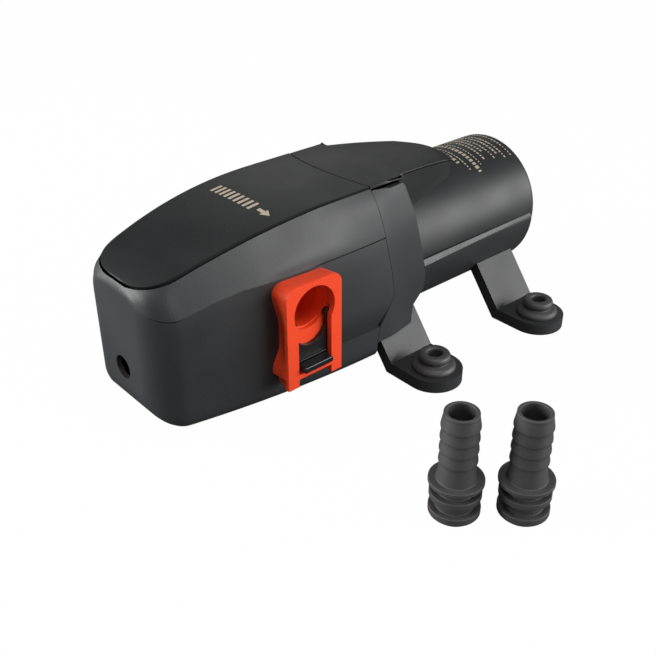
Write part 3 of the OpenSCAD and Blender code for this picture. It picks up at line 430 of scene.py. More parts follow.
def section_side(x):
    """One side of the head at x, from the middle of its floor to the middle of its top.

    Its corners move from one shape to another as rear grows from 0 to 1, or front at the front end.
    """
    w, z0, r = half_width(x), floor_z(x), LOWER_EDGE_R
    zt = edge_z(x)
    zc = min(crease_z(x), zt - 1)
    t = min(cover_half(x), w - 1)
    rear = clamp((x - REAR_START_X) / REAR_L)
    front = clamp((FRONT_X + FRONT_L - x) / FRONT_L)
    floor = [((w - r) * i / 4, z0) for i in range(4)]
    arc = [(w - r + r * math.sin(a), z0 + r - r * math.cos(a))
           for a in (math.radians(15 * i) for i in range(7))]
    below_crease = (mix(w, w - 2.6, rear), mix(min(zc - 3, 57), 57, rear))
    crease = (mix(w - 0.4, w - 4.2, rear), mix(zc, 65.5, rear))
    shoulder = (mix(mix(t, w, mix(0.35, 0.78, front)), w - 7.6, rear),
                mix(mix(zc, zt, mix(0.62, 0.84, front * front)), zt - 5.5, rear))
    corners = [arc[-1], (mix(w, w - 0.9, rear), 42), below_crease, crease, shoulder, (t, zt)]
    flank = ease_corners(corners, [9, 4, mix(1.5, 6, rear), mix(9, 5, rear)])
    lower, upper = parted(flank, min(joint_z(x), zt - 1.5))
    top = [(t * k, zt + crown(x, k)) for k in (0.66, 0.33, 0)]
    return floor + arc[:-1] + spread(lower, FLANK_COUNT) + spread(upper, SHOULDER_COUNT)[1:] + top


JOINT_INDEX = 4 + 6 + FLANK_COUNT
FLANK_LEDGE_INDEX, FLANK_LEDGE_Z = 14, 23.3
TUCK, TUCK_TOP_Z, TUCK_FRONT_X, TUCK_FADE = 1.3, 34.0, -80, 9


def tucked_side(x):
    """A section whose flank is drawn in behind the port frame, down to a fine ledge."""
    side = section_side(x)
    share = clamp((x - TUCK_FRONT_X) / TUCK_FADE)
    edge = FLANK_LEDGE_INDEX
    for i, z in ((edge, FLANK_LEDGE_Z), (edge + 1, FLANK_LEDGE_Z + 0.12)):
        side[i] = (side[i][0], mix(side[i][1], z, share))
    for i in range(edge + 1, len(side)):
        y, z = side[i]
        depth = TUCK * clamp((TUCK_TOP_Z - z) / (TUCK_TOP_Z - FLANK_LEDGE_Z)) ** 2
        side[i] = (y - share * depth, z)
    return side


print("points on half a section:", len(section_side(-100)))

# %% [markdown]
# ## From sections to a surface
#
# Box modelling with a subdivision surface would give soft forms too, but the head's sizes would then
# drift from its rules. So a grid joins each section to the next, with every point where its rule puts
# it. Its last rows can end on a slanted joint instead of a plane: each point then slides along the head
# until it meets the joint at its own height.

# %% Skins
SAME_POINT = 0.00001


def add_object(name, mesh, material=None):
    data = bpy.data.meshes.new(name)
    mesh.to_mesh(data)
    mesh.free()
    if material:
        data.materials.append(material)
    piece = bpy.data.objects.new(name, data)
    scene.collection.objects.link(piece)
    return piece


@contextmanager
def editing(piece):
    """Opens the mesh of a piece for editing, and writes it back."""
    mesh = bmesh.new()
    mesh.from_mesh(piece.data)
    yield mesh
    mesh.to_mesh(piece.data)
    mesh.free()


def grid_mesh(name, rows, material):
    """A skin that joins each row of points to the next."""
    mesh = bmesh.new()
    lines = [[mesh.verts.new(Vector(p) * MM) for p in row] for row in rows]
    for a, b in zip(lines, lines[1:]):
        for i in range(len(a) - 1):
            mesh.faces.new((a[i], a[i + 1], b[i + 1], b[i]))
    bmesh.ops.remove_doubles(mesh, verts=mesh.verts, dist=SAME_POINT)
    bmesh.ops.dissolve_degenerate(mesh, edges=mesh.edges, dist=SAME_POINT)
    bmesh.ops.recalc_face_normals(mesh, faces=mesh.faces)
    return add_object(name, mesh, material)


def join(piece, others):
    with editing(piece) as mesh:
        for other in others:
            mesh.from_mesh(other.data)
            bpy.data.objects.remove(other)


def face_outwards(piece, centre):
    """Turns an open skin so that its faces look away from a point inside it."""
    mesh = piece.data
    middle = Vector(centre) * MM
    votes = sum(p.area * (1 if p.normal.dot(p.center - middle) > 0 else -1) for p in mesh.polygons)
    if votes < 0:
        mesh.flip_normals()


print("points closer than", SAME_POINT / MM, "mm are merged")

# %% [markdown]
# ## Walls and edges
#
# A skin gets its wall from a Solidify modifier, and a small Bevel rounds its rims, as on any moulding.
# A bevel can also go by weight, so that it fades out where an edge should not show. Every modifier is
# applied at once, so each piece ends as a plain mesh.

# %% Walls and edges
def apply_modifiers(piece):
    plain = bpy.data.meshes.new_from_object(piece.evaluated_get(bpy.context.evaluated_depsgraph_get()))
    piece.modifiers.clear()
    old = piece.data
    piece.data = plain
    bpy.data.meshes.remove(old)
    plain.name = piece.name


def add_wall(piece, thickness, even=True):
    wall = piece.modifiers.new("wall", "SOLIDIFY")
    wall.thickness = thickness * MM
    wall.offset = -1
    wall.use_even_offset = even
    apply_modifiers(piece)


def smooth(piece, angle=38):
    piece.data.shade_smooth()
    piece.data.set_sharp_from_angle(angle=math.radians(angle))
    normals = piece.modifiers.new("even_shading", "WEIGHTED_NORMAL")
    normals.keep_sharp = True
    apply_modifiers(piece)


def weigh_edges(piece, angle, rule):
    """Gives each sharp edge a bevel weight by a rule on the place of its middle, in millimetres."""
    with editing(piece) as mesh:
        layer = mesh.edges.layers.float.new("bevel_weight_edge")
        for edge in mesh.edges:
            if edge.calc_face_angle(0) > math.radians(angle):
                edge[layer] = rule((edge.verts[0].co + edge.verts[1].co) / 2 / MM)


def round_edges(piece, width, angle=40, segments=3, rule=None):
    """Rounds the edges, then lets the large faces rule the shading."""
    if rule:
        weigh_edges(piece, angle, rule)
    bevel = piece.modifiers.new("round_edges", "BEVEL")
    bevel.width = width * MM
    bevel.segments = segments
    bevel.limit_method = "WEIGHT" if rule else "ANGLE"
    bevel.angle_limit = math.radians(angle)
    bevel.use_clamp_overlap = True
    bevel.miter_outer = "MITER_ARC"
    apply_modifiers(piece)
    smooth(piece)


print("modifiers are applied as they are added")

# %% [markdown]
# ## Outlines and cuts
#
# Openings are drawn as flat outlines, pushed out to a cutter, turned into place and taken away by an
# exact Boolean. That keeps their edges as true as a milled slot. The last helper hands a finished piece
# over: it sets the piece on the body it rides on, and hides the imported part it stands for.

# %% Outlines and cuts
def circle(radius, centre=(0, 0), sides=96, start=0.0, sweep=360.0):
    count = sides if sweep == 360 else sides + 1
    return [(centre[0] + radius * math.cos(math.radians(start + sweep * i / sides)),
             centre[1] + radius * math.sin(math.radians(start + sweep * i / sides))) for i in range(count)]


def box_outline(x_low, y_low, x_high, y_high):
    return [(x_low, y_low), (x_high, y_low), (x_high, y_high), (x_low, y_high)]


ALONG_X = Matrix(((0, 0, 1, 0), (1, 0, 0, 0), (0, 1, 0, 0), (0, 0, 0, 1)))
ALONG_Y = Matrix(((1, 0, 0, 0), (0, 0, 1, 0), (0, 1, 0, 0), (0, 0, 0, 1)))


def prism(points, low, high, place=None, material=None, name="cutter"):
    """A flat outline pushed out from low to high along its own Z, then set in place."""
    mesh = bmesh.new()
    base = [mesh.verts.new((x * MM, y * MM, low * MM)) for x, y in points]
    lid = [mesh.verts.new((x * MM, y * MM, high * MM)) for x, y in points]
    mesh.faces.new(base[::-1])
    mesh.faces.new(lid)
    for i in range(len(points)):
        j = (i + 1) % len(points)
        mesh.faces.new((base[i], base[j], lid[j], lid[i]))
    if place:
        bmesh.ops.transform(mesh, matrix=place, verts=mesh.verts)
    bmesh.ops.recalc_face_normals(mesh, faces=mesh.faces)
    return add_object(name, mesh, material)


def cut_away(piece, cutter):
    tool = piece.modifiers.new("cut", "BOOLEAN")
    tool.operation = "DIFFERENCE"
    tool.solver = "EXACT"
    tool.object = cutter
    apply_modifiers(piece)
    bpy.data.objects.remove(cutter)


def finish_piece(piece, node, body):
    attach(piece, body)
    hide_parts(node)
    print(piece.name, "stands for", node, "with", len(piece.data.polygons), "faces")


print("points on a drawn circle:", len(circle(1)))

# %% [markdown]
# ## Head casing
#
# The casing is one skin from the front face to the collar, parted in two shells along the crease of its
# side. Rows of the grid stand close together round the front corners, where the surface turns fast. The
# openings for the two port frames, the screwdriver hole and the seat of the top cover are cut after the
# wall has its thickness, so that they show it.

# %% Casing grid
def full_row(x, side):
    """Both halves of a section as one row, from the middle of the top round to it again."""
    return [(x, -y, z) for y, z in reversed(side)] + [(x, y, z) for y, z in side[1:]]


def on_joint(joint, gap, section):
    """Half a section whose points lie on a slanted joint, as (x, y, z)."""
    count = len(section(-60))
    xs = [step_x(joint, AXIS_Z)] * count
    for _ in range(6):
        xs = [step_x(joint, section(x)[i][1]) + gap for i, x in enumerate(xs)]
    return [(x, *section(x)[i]) for i, x in enumerate(xs)]


def mirrored_row(half):
    return [(x, -y, z) for x, y, z in reversed(half)] + half[1:]


def rows_between(first, last, count, section):
    """Rows whose points lie on the head, between two halves that need not be plane."""
    rows = []
    for k in range(count + 1):
        xs = [mix(a[0], b[0], k / count) for a, b in zip(first, last)]
        rows.append(mirrored_row([(x, *section(x)[i]) for i, x in enumerate(xs)]))
    return rows


FRONT_STEPS = [0, 0.12, 0.4, 0.8, 1.3, 1.9, 2.6, 3.4, 4.3, 5.3, 6.4, 7.6, 8.9, 10.2, CORNER_R]
FAN_X = -56


def casing_rows():
    xs = [FRONT_X + s for s in FRONT_STEPS]
    xs += [mix(FRONT_X + CORNER_R, FAN_X, i / 36) for i in range(1, 36)]
    plane = [(FAN_X, *p) for p in tucked_side(FAN_X)]
    rear = on_joint(SEAM, -0.05, tucked_side)
    return [full_row(x, tucked_side(x)) for x in xs] + rows_between(plane, rear, 8, tucked_side)


CASING_ROWS = casing_rows()
print("casing grid:", len(CASING_ROWS), "rows of", len(CASING_ROWS[0]), "points")

# %% [markdown]
# The real casing is moulded in two halves. Two skins drawn apart would hardly meet along a crease that
# bends, so both take their columns from the one grid, and their joint runs true all the way round. It
# has a fine gap at the corners and the rear, and a tiny lip between.

# %% Columns of the two shells
JOINT_FRONT_X, JOINT_FADE, JOINT_GAP = -147.2, 4, 0.2
LIP_FRONT_X, LIP_REAR_X, LIP_OUT, LIP_IN = -139, -79, 0.2, -0.15


def joint_edge(row, end, out):
    """Sets the end of a row at the joint: a fine gap at the corners and the rear, a tiny lip between."""
    a, b = Vector(row[end]), Vector(row[1 if end == 0 else -2])
    lip = clamp((a.x - LIP_FRONT_X) / JOINT_FADE) * clamp((LIP_REAR_X - a.x) / JOINT_FADE)
    gap = JOINT_GAP * clamp((a.x - JOINT_FRONT_X) / JOINT_FADE) * (1 - lip)
    a += (b - a).normalized() * gap + Vector((0, math.copysign(out * lip, a.y), 0))
    row = list(row)
    row[end] = tuple(a)
    return row


def shell_rows(keep_below):
    """The columns of the casing grid that belong to one shell."""
    middle = (len(CASING_ROWS[0]) - 1) // 2
    low, high = middle - JOINT_INDEX, middle + JOINT_INDEX
    if keep_below:
        return [[joint_edge(joint_edge(row[low:high + 1], 0, LIP_OUT), -1, LIP_OUT) for row in CASING_ROWS]]
    return [[joint_edge(row[:low + 1], -1, LIP_IN) for row in CASING_ROWS],
            [joint_edge(row[high:], 0, LIP_IN) for row in CASING_ROWS]]


print("columns of the shells:", [len(rows[0]) for keep in (True, False) for rows in shell_rows(keep)])

# %% [markdown]
# Each shell is then closed in front, given its wall and cut. The lower one has a window behind each port
# frame, and a round hole for the screwdriver that sets the switch. The upper one has the seat of the top
# cover, set off by a groove that stays open round the cover and reads as a fine dark line.

# %% Two shells
SHELL_WALL = 2.2
PORT_X, PORT_Z, PORT_FACE_Y = -88.6, 48.9, 41.7
FRAME_W, FRAME_TOP, FRAME_DROP = 26.9, 12.3, 31.4
ACCESS_R, ACCESS_Z = 4.9, 29
COVER_STEPS = [0.02, 0.07, 0.17, 0.35, 0.6, 1, 1.5, 2.2, 3, 4, 5.2, 6.6, 8.2, 10, 12, COVER_FRONT_L]
LEDGE_FRONT_X, LEDGE_REAR_X = -82, -46


def cover_outline(grow):
    """The outline of the cover, set off outwards by the groove round it."""
    xs = [COVER_FRONT_X + s for s in COVER_STEPS]
    xs += [mix(COVER_FRONT_X + COVER_FRONT_L, -30, i / 30) for i in range(1, 31)]
    line = [Vector((x, cover_half(x))) for x in xs]
    line = [Vector((line[0].x, -line[0].y))] + line + [Vector((-20, line[-1].y))]
    side = []
    for before, p, after in zip(line, line[1:], line[2:]):
        along = (after - before).normalized()
        side.append((p.x - grow * along.y, p.y + grow * along.x))
    return side + [(x, -y) for x, y in reversed(side)]


def joint_fade(p):
    """Bevel weights: the joint fades out round the front corners, and the flank's ledge stays sharp."""
    if abs(p.z - FLANK_LEDGE_Z) < 0.5 and LEDGE_FRONT_X < p.x < LEDGE_REAR_X:
        return 0.0
    near_joint = abs(p.z - joint_z(max(p.x, FRONT_X))) < 2.5 and p.x < -140
    return clamp((p.x - JOINT_FRONT_X) / JOINT_FADE) if near_joint else 1.0


def close_front(piece):
    """Merges the seam along the middle and closes the plane front face with one face."""
    with editing(piece) as mesh:
        bmesh.ops.remove_doubles(mesh, verts=mesh.verts, dist=SAME_POINT)
        low = min(v.co.x for v in mesh.verts)
        rim = [v for v in mesh.verts if v.co.x < low + 1e-6 and v.is_boundary]
        middle_z = sum(v.co.z for v in rim) / len(rim)
        rim.sort(key=lambda v: math.atan2(v.co.z - middle_z, v.co.y))
        mesh.faces.new(rim)
        bmesh.ops.recalc_face_normals(mesh, faces=mesh.faces)


def make_shell(name, keep_below):
    halves = [grid_mesh(name, rows, casing_black) for rows in shell_rows(keep_below)]
    shell = halves[0]
    if len(halves) > 1:
        join(shell, halves[1:])
    close_front(shell)
    face_outwards(shell, (-95, 0, 40))
    add_wall(shell, SHELL_WALL)
    if keep_below:
        for side in (-1, 1):
            low_z, high_z = PORT_Z - FRAME_DROP + 5.7, PORT_Z + FRAME_TOP - 1.2
            outline = box_outline(PORT_X - FRAME_W / 2 + 2.6, low_z, PORT_X + FRAME_W / 2 - 2.6, high_z)
            cut_away(shell, prism(outline, 20 * side, 50 * side, ALONG_Y))
        hole = circle(ACCESS_R, (0, ACCESS_Z), 64)
        cut_away(shell, prism(hole, FRONT_X - 5, FRONT_X + 12, ALONG_X))
    else:
        cut_away(shell, prism(cover_outline(GROOVE), JOINT_Z - 8, 100))
    round_edges(shell, 0.4, rule=joint_fade)
    return shell


for name, node, keep_below in (("lower_casing", "lower_shell", True),
                               ("upper_casing", "upper_shell", False)):
    finish_piece(make_shell(name, keep_below), node, "pump")

# %% [markdown]
# ## Top cover
#
# The long cover is a thin crowned plate. It follows the falling crest of the head, narrows to a blunt
# round front, and ends on a wide arc where the tail cover begins. A flat plate bent by a modifier would
# not lie true in its groove, so the cover is a grid that follows the same rules as the head.

# %% Top cover
ARC_X, ARC_R = 14.0, 64.5


def arc_x(y, grow=0.0):
    return ARC_X - math.sqrt((ARC_R + grow) ** 2 - y * y)


def cover_rows():
    xs = [COVER_FRONT_X + s for s in COVER_STEPS]
    xs += [mix(COVER_FRONT_X + COVER_FRONT_L, FAN_X, i / 24) for i in range(1, 25)]
    across = [i / 12 for i in range(-12, 13)]
    rows = [[(x, u * cover_half(x), edge_z(x) + crown(x, u)) for u in across] for x in xs]
    for k in range(1, 5):
        row = []
        for u in across:
            y = u * COVER_HALF_W
            x = mix(FAN_X, arc_x(y, GROOVE / 2), k / 4)
            row.append((x, y, edge_z(x) + crown(x, u)))
        rows.append(row)
    return rows


top_cover = grid_mesh("long_cover", cover_rows(), cover_black)
face_outwards(top_cover, (-95, 0, 0))
add_wall(top_cover, COVER_T)
round_edges(top_cover, 0.4, angle=50)
finish_piece(top_cover, "top_cover", "pump")

# %% [markdown]
# ## Tail cover
#
# Behind the arc the cover goes on as a fairing over the motor: it narrows, falls a little and ends
# round. Its outline is followed all the way round the nose, and each row runs from the foot of the
# wall over a soft edge to the spine. So there is no pole on the nose, where it would show.

# %% Outline of the tail cover
TAIL_X, TAIL_END_X, TAIL_TIP_X = -36.0, 7.6, 21.6
PLATE_END_X, PLATE_T, TAIL_HALF_W = -27.0, 1.3, 22.6
TAIL_END_HALF_W, TAIL_END_Z, TAIL_TIP_Z = 16.0, 76.3, 72.6
MOTOR_R = 29.6


def tail_outline():
    """(x, half width) along one side of the tail cover, from its front corner to the tip."""
    front = arc_x(COVER_HALF_W, -GROOVE / 2)
    points = [(mix(front, PLATE_END_X, i / 8), COVER_HALF_W) for i in range(9)]
    points += [(x, mix(TAIL_HALF_W, TAIL_END_HALF_W, (x - PLATE_END_X) / (TAIL_END_X - PLATE_END_X)))
               for x in (-26.9, -26.4, -25.6, -24.8, -24, -23, -22, -20, -17, -13, -9, -5, -1, 3, 6)]
    points += [(TAIL_END_X + (TAIL_TIP_X - TAIL_END_X) * math.sin(math.radians(a)),
                TAIL_END_HALF_W * math.cos(math.radians(a))) for a in range(0, 91, 6)]
    return points


print("points on one side of the tail cover:", len(tail_outline()))

# %% [markdown]
# A row of the tail cover climbs the wall, steps in and out of the groove under the plate, and rounds the
# edge by a short arc. From there it runs in to the spine, crowned like the long cover. The foot of the
# wall follows the can, or the collar's rim where that stands higher.

# %% Rows of the tail cover
def tail_top_z(x):
    if x < TAIL_END_X:
        return mix(TOP_Z, TAIL_END_Z, clamp((x - TAIL_X) / (TAIL_END_X - TAIL_X)) ** 1.5)
    return mix(TAIL_END_Z, TAIL_TIP_Z, (x - TAIL_END_X) / (TAIL_TIP_X - TAIL_END_X))


def rim_height(x):
    """Height of the collar's rear rim at x."""
    z = TOP_Z
    while z > AXIS_Z and step_x(RIM, z) + 0.15 < x:
        z -= 0.25
    return z


def tail_wall_foot(x, y):
    if x < PLATE_END_X + 0.01:
        return TOP_Z - PLATE_T
    on_can = AXIS_Z + math.sqrt(max(0, (MOTOR_R + 0.15) ** 2 - y * y))
    return min(max(on_can, rim_height(x)), tail_top_z(x) - COVER_T)


GROOVE_H, GROOVE_DEPTH, TAIL_EDGE_R, TAIL_WALL = 0.7, 0.9, 0.5, 0.6


def tail_row(i, x, h, side):
    """From the foot of the wall, past the groove under the plate, over its edge and in to the spine."""
    spine_x = min(x, TAIL_END_X)
    zt = tail_top_z(x)
    foot = tail_wall_foot(x, h)
    front = clamp(1 - i / 8)
    centre_x = mix(spine_x, arc_x(0, -GROOVE / 2), front)
    reach = max(0.01, math.hypot(x - centre_x, h))
    depth = GROOVE_DEPTH if x > PLATE_END_X + 0.01 else 0.0

    def inwards(distance, z):
        s = distance / reach
        return (mix(x, centre_x, s), side * h * (1 - s), z)

    edge_r = TAIL_EDGE_R
    top_of_wall = max(zt - edge_r - GROOVE_H, foot + 0.4)
    row = [inwards(0, mix(foot, top_of_wall, k / 4)) for k in range(5)]
    row += [inwards(depth, top_of_wall), inwards(depth, top_of_wall + GROOVE_H),
            inwards(0, top_of_wall + GROOVE_H)]
    for a in (math.radians(30 * k) for k in range(4)):
        row.append(inwards(edge_r * (1 - math.cos(a)), zt - edge_r * (1 - math.sin(a))))
    s_edge = edge_r / reach
    for k in range(1, 9):
        s = mix(s_edge, 1, k / 8)
        rho = (1 - s) / (1 - s_edge)
        px, y, _ = inwards(s * reach, 0)
        if front > 0:
            px = mix(x, arc_x(y, -GROOVE / 2), front)
        z = tail_top_z(px) if x < TAIL_END_X else mix(TAIL_END_Z, zt, rho ** 2)
        row.append((px, y, z + CROWN * (1 - rho * rho)))
    return row


def tail_rows():
    half = tail_outline()
    left = [tail_row(i, x, h, -1) for i, (x, h) in enumerate(half)]
    right = [tail_row(i, x, h, 1) for i, (x, h) in enumerate(half[:-1])]
    return left + right[::-1]


tail_cover = grid_mesh("tail_fairing", tail_rows(), cover_black)
face_outwards(tail_cover, (-20, 0, 50))
add_wall(tail_cover, TAIL_WALL, even=False)
smooth(tail_cover, 42)
finish_piece(tail_cover, "tail_cover", "pump")

# %% [markdown]
# ## Collar
#
# The collar between head and motor has no plane end: both of its joints are slanted chains of straight
# steps. It continues the head's own form, so it is made by the same rows, laid between the two joints.
# It is open above, where the covers pass over it, and has a slot on each side for a leg.

# %% Collar
LEG_W, LEG_BEND_Y, LEG_GAP = 24.4, 41.6, 0.25
FOOT_X, FOOT_Y = 34.5, 54.75
PLATE_TOP, GROMMET_LIFT = 6.4, 1.0
SKIRT_Z = 16


def leg_outline(grow=0.0):
    """Section of a leg across the pump, as (y, z)."""
    return [(18, 24), (27.2 + grow, 24.8), (LEG_BEND_Y + grow * 1.2, PLATE_TOP + grow),
            (FOOT_Y, PLATE_TOP + grow), (FOOT_Y, GROMMET_LIFT - grow),
            (LEG_BEND_Y - 2.7 - grow, GROMMET_LIFT - grow), (22.9 - grow, 21.5 - grow), (16, 20)]


def bisect(piece, point, normal):
    """Cuts away what lies on the side that normal points to."""
    with editing(piece) as mesh:
        bmesh.ops.bisect_plane(mesh, geom=mesh.verts[:] + mesh.edges[:] + mesh.faces[:], dist=1e-7,
                               plane_co=Vector(point) * MM, plane_no=normal, clear_outer=True)


collar = grid_mesh("drive_collar_skin", rows_between(
    on_joint(SEAM, 0.15, section_side), on_joint(RIM, 0, section_side), 10, section_side), casing_black)
face_outwards(collar, (-35, 0, 40))
bisect(collar, (0, 0, SKIRT_Z), (0, 0, -1))
add_wall(collar, SHELL_WALL)
gap = COVER_HALF_W + GROOVE
under_plate = [(-70, -gap), (-52, -gap), (-46, -gap - 0.5), (-20, -gap - 1.7)]
under_plate += [(x, -y) for x, y in reversed(under_plate)]
cut_away(collar, prism(under_plate, TOP_Z - COVER_T - 0.5, 100))
leg_front, leg_rear = -FOOT_X - LEG_W / 2 - LEG_GAP, -FOOT_X + LEG_W / 2 + LEG_GAP
for side in (-1, 1):
    leg = [(y * side, z) for y, z in leg_outline(LEG_GAP)]
    cut_away(collar, prism(leg, leg_front, leg_rear, ALONG_X))
round_edges(collar, 0.35)
finish_piece(collar, "drive_collar", "pump")

# %% [markdown]
# ## Motor can
#
# The can is deep-drawn steel, painted: a turned form with a rounded rear edge. A cylinder with a bevel
# would do for the edge, but not for the fine groove on its end. So a profile is spun round the motor
# axis, with small steps where a radius is wanted. The same helper spins the grommets and the hose fittings.

# %% Motor can
CAN_FRONT_X, MOTOR_REAR_X, CAN_EDGE_R, CAN_WALL = -20.0, 59.2, 2.6, 1.6


def at(x, y, z):
    return Matrix.Translation(Vector((x, y, z)) * MM)


def spin(name, profile, material, axis="Z", centre=(0, 0, 0), sides=96):
    """Spins (radius, height) points round an axis into a closed mesh."""
    mesh = bmesh.new()
    rings = []
    for r, h in profile:
        if r < 1e-6:
            rings.append([mesh.verts.new((0, 0, h * MM))])
            continue
        rings.append([mesh.verts.new((r * MM * math.cos(2 * math.pi * i / sides),
                                      r * MM * math.sin(2 * math.pi * i / sides), h * MM))
                      for i in range(sides)])
    for a, b in zip(rings, rings[1:] + rings[:1]):
        if len(a) == 1 and len(b) == 1:
            continue
        for i in range(sides):
            j = (i + 1) % sides
            ring = [a[i % len(a)], a[j % len(a)], b[j % len(b)], b[i % len(b)]]
            mesh.faces.new([v for k, v in enumerate(ring) if v not in ring[:k]])
    bmesh.ops.recalc_face_normals(mesh, faces=mesh.faces)
    turn = ALONG_X if axis == "X" else Matrix.Identity(4)
    bmesh.ops.transform(mesh, matrix=at(*centre) @ turn, verts=mesh.verts)
    return add_object(name, mesh, material)


can_profile = [(MOTOR_R, CAN_FRONT_X), (MOTOR_R, MOTOR_REAR_X - CAN_EDGE_R)]
can_profile += circle(CAN_EDGE_R, (MOTOR_R - CAN_EDGE_R, MOTOR_REAR_X - CAN_EDGE_R), 6, 12, 72)
can_profile += [(13.5, MOTOR_REAR_X), (12.9, MOTOR_REAR_X - 0.3), (12.3, MOTOR_REAR_X), (0, MOTOR_REAR_X),
                (0, MOTOR_REAR_X - CAN_WALL), (MOTOR_R - CAN_WALL, MOTOR_REAR_X - CAN_WALL),
                (MOTOR_R - CAN_WALL, CAN_FRONT_X)]
motor = spin("motor_housing", can_profile, motor_black, "X", (0, 0, AXIS_Z), 160)
smooth(motor)
finish_piece(motor, "motor_can", "pump")

# %% [markdown]
# ## Cradle and grommets
#
# The motor hangs in a half-round cradle whose four legs end in round foot plates. The cradle starts as a
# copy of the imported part: its doubled points are merged and its flat faces joined. Then its rim is
# sloped and its rib thinned, and its edges are rounded a little, as a moulding tool would leave them.

# %% Cradle
def tidy_faces(piece, angle=1.0):
    """Merges doubled points and joins faces that lie in one plane."""
    with editing(piece) as mesh:
        bmesh.ops.remove_doubles(mesh, verts=mesh.verts, dist=2 * SAME_POINT)
        bmesh.ops.dissolve_limit(mesh, angle_limit=math.radians(angle), verts=mesh.verts, edges=mesh.edges)


def copy_of(node, name, material):
    data = nodes[node].data.copy()
    data.materials.clear()
    data.materials.append(material)
    piece = bpy.data.objects.new(name, data)
    scene.collection.objects.link(piece)
    tidy_faces(piece)
    return piece


UNDER_RIM_Z = 38.9


def soften_rim(piece):
    """Slopes the rim of the cradle outwards and thins its rib towards the rear."""
    upper = [v.co / MM for v in piece.data.vertices if v.co.z > UNDER_RIM_Z * MM]
    front, rear = -FOOT_X - LEG_W / 2, max(v.co.x for v in piece.data.vertices) / MM
    rim_r = max(abs(p.y) for p in upper)
    front_of_rib = min(p.x for p in upper if abs(p.y) > rim_r - 0.3)
    for v in piece.data.vertices:
        x, y, z = v.co / MM
        if z < UNDER_RIM_Z:
            continue
        s = clamp((x - front) / (rear - front))
        out = abs(y)
        if z > AXIS_Z:
            out = MOTOR_R + mix(1.3, 0, s) if out < MOTOR_R + 0.3 else MOTOR_R + mix(1.5, 0.5, s)
        elif out > rim_r - 0.3:
            out, z = out - 1.1 * s, z + mix(-0.8, 1.9, s)
        if abs(x - front_of_rib) < 0.1:
            v.co.x -= 1.6 * MM
        v.co.y, v.co.z = math.copysign(out, y) * MM, z * MM


cradle = copy_of("motor_cradle", "cradle_and_feet", leg_black)
soften_rim(cradle)
round_edges(cradle, 0.3, angle=32, segments=2)
finish_piece(cradle, "motor_cradle", "pump")

# %% [markdown]
# Four rubber grommets take up the motor's shake. Each grips its foot plate, and its collar holds a
# screw. They are equal and stand on a rectangle, so one turned grommet is set on the corners of a grid
# by Geometry Nodes. The two spacings are named inputs.

# %% Grommets by Geometry Nodes
def node_tree(name, inputs):
    tree = bpy.data.node_groups.new(name, "GeometryNodeTree")
    tree.interface.new_socket("Geometry", in_out="INPUT", socket_type="NodeSocketGeometry")
    tree.interface.new_socket("Geometry", in_out="OUTPUT", socket_type="NodeSocketGeometry")
    for label, kind in inputs:
        tree.interface.new_socket(label, in_out="INPUT", socket_type=kind)
    return tree, tree.nodes.new("NodeGroupInput"), tree.nodes.new("NodeGroupOutput")


def run_nodes(piece, tree, values):
    """Gives the inputs by their identifiers, then turns the result into a plain mesh."""
    maker = piece.modifiers.new("maker", "NODES")
    maker.node_group = tree
    for item in tree.interface.items_tree:
        if item.item_type == "SOCKET" and item.in_out == "INPUT" and item.name in values:
            maker[item.identifier] = values[item.name]
    apply_modifiers(piece)


def corner_copies_tree(material):
    tree, given, made = node_tree("copies_on_corners", [
        ("Spacing along", "NodeSocketFloat"), ("Spacing across", "NodeSocketFloat")])
    grid = add_node(tree, "GeometryNodeMeshGrid", {"Vertices X": 2, "Vertices Y": 2})
    copies = add_node(tree, "GeometryNodeInstanceOnPoints")
    real = add_node(tree, "GeometryNodeRealizeInstances")
    paint = add_node(tree, "GeometryNodeSetMaterial", {"Material": material})
    wire(tree, (given, "Spacing along", grid, "Size X"), (given, "Spacing across", grid, "Size Y"),
         (grid, "Mesh", copies, "Points"), (given, "Geometry", copies, "Instance"),
         (copies, "Instances", real, "Geometry"), (real, "Geometry", paint, "Geometry"),
         (paint, "Geometry", made, "Geometry"))
    return tree


def rounded(profile, radius, steps=3):
    """Replaces each corner of a closed profile by a small curve."""
    result = []
    for i, p in enumerate(profile):
        a, b = profile[i - 1], profile[(i + 1) % len(profile)]
        to_a = Vector((a[0] - p[0], a[1] - p[1]))
        to_b = Vector((b[0] - p[0], b[1] - p[1]))
        size = min(radius, to_a.length * 0.45, to_b.length * 0.45)
        if size < 0.01 or p[0] < 1e-6:
            result.append(p)
            continue
        corner = Vector(p)
        result += bend(corner + to_a.normalized() * size, corner, corner + to_b.normalized() * size, steps)
    return result


GROMMET_TOP = PLATE_TOP + 7.1
grommet_profile = [(2.5, 0), (9, 0), (9, 1), (6.4, 1), (6.4, PLATE_TOP), (9.25, PLATE_TOP),
                   (9.25, PLATE_TOP + 1.4), (8.2, PLATE_TOP + 2.6), (6.2, PLATE_TOP + 3.2),
                   (6.3, PLATE_TOP + 4), (6.9, PLATE_TOP + 4.6), (6.9, GROMMET_TOP - 1.5),
                   (6.4, GROMMET_TOP - 0.4), (5.6, GROMMET_TOP), (3.7, GROMMET_TOP),
                   (3.1, GROMMET_TOP - 0.6), (3.0, GROMMET_TOP - 5), (2.5, GROMMET_TOP - 6)]
grommets = spin("rubber_grommets", rounded(grommet_profile, 0.45), rubber_black, sides=64)
run_nodes(grommets, corner_copies_tree(rubber_black),
          {"Spacing along": 2 * FOOT_X * MM, "Spacing across": 2 * FOOT_Y * MM})
smooth(grommets, 50)
finish_piece(grommets, "foot_grommets", "pump")

# %% [markdown]
# ## Port frames
#
# Each port has a red frame with a keyhole: the plug of a fitting goes in through its round end, and the
# slot below it lets the latch slide. Its side walls have a waist, so it can't be one outline pushed out
# to its depth: it is a loft, with one outline for each depth.

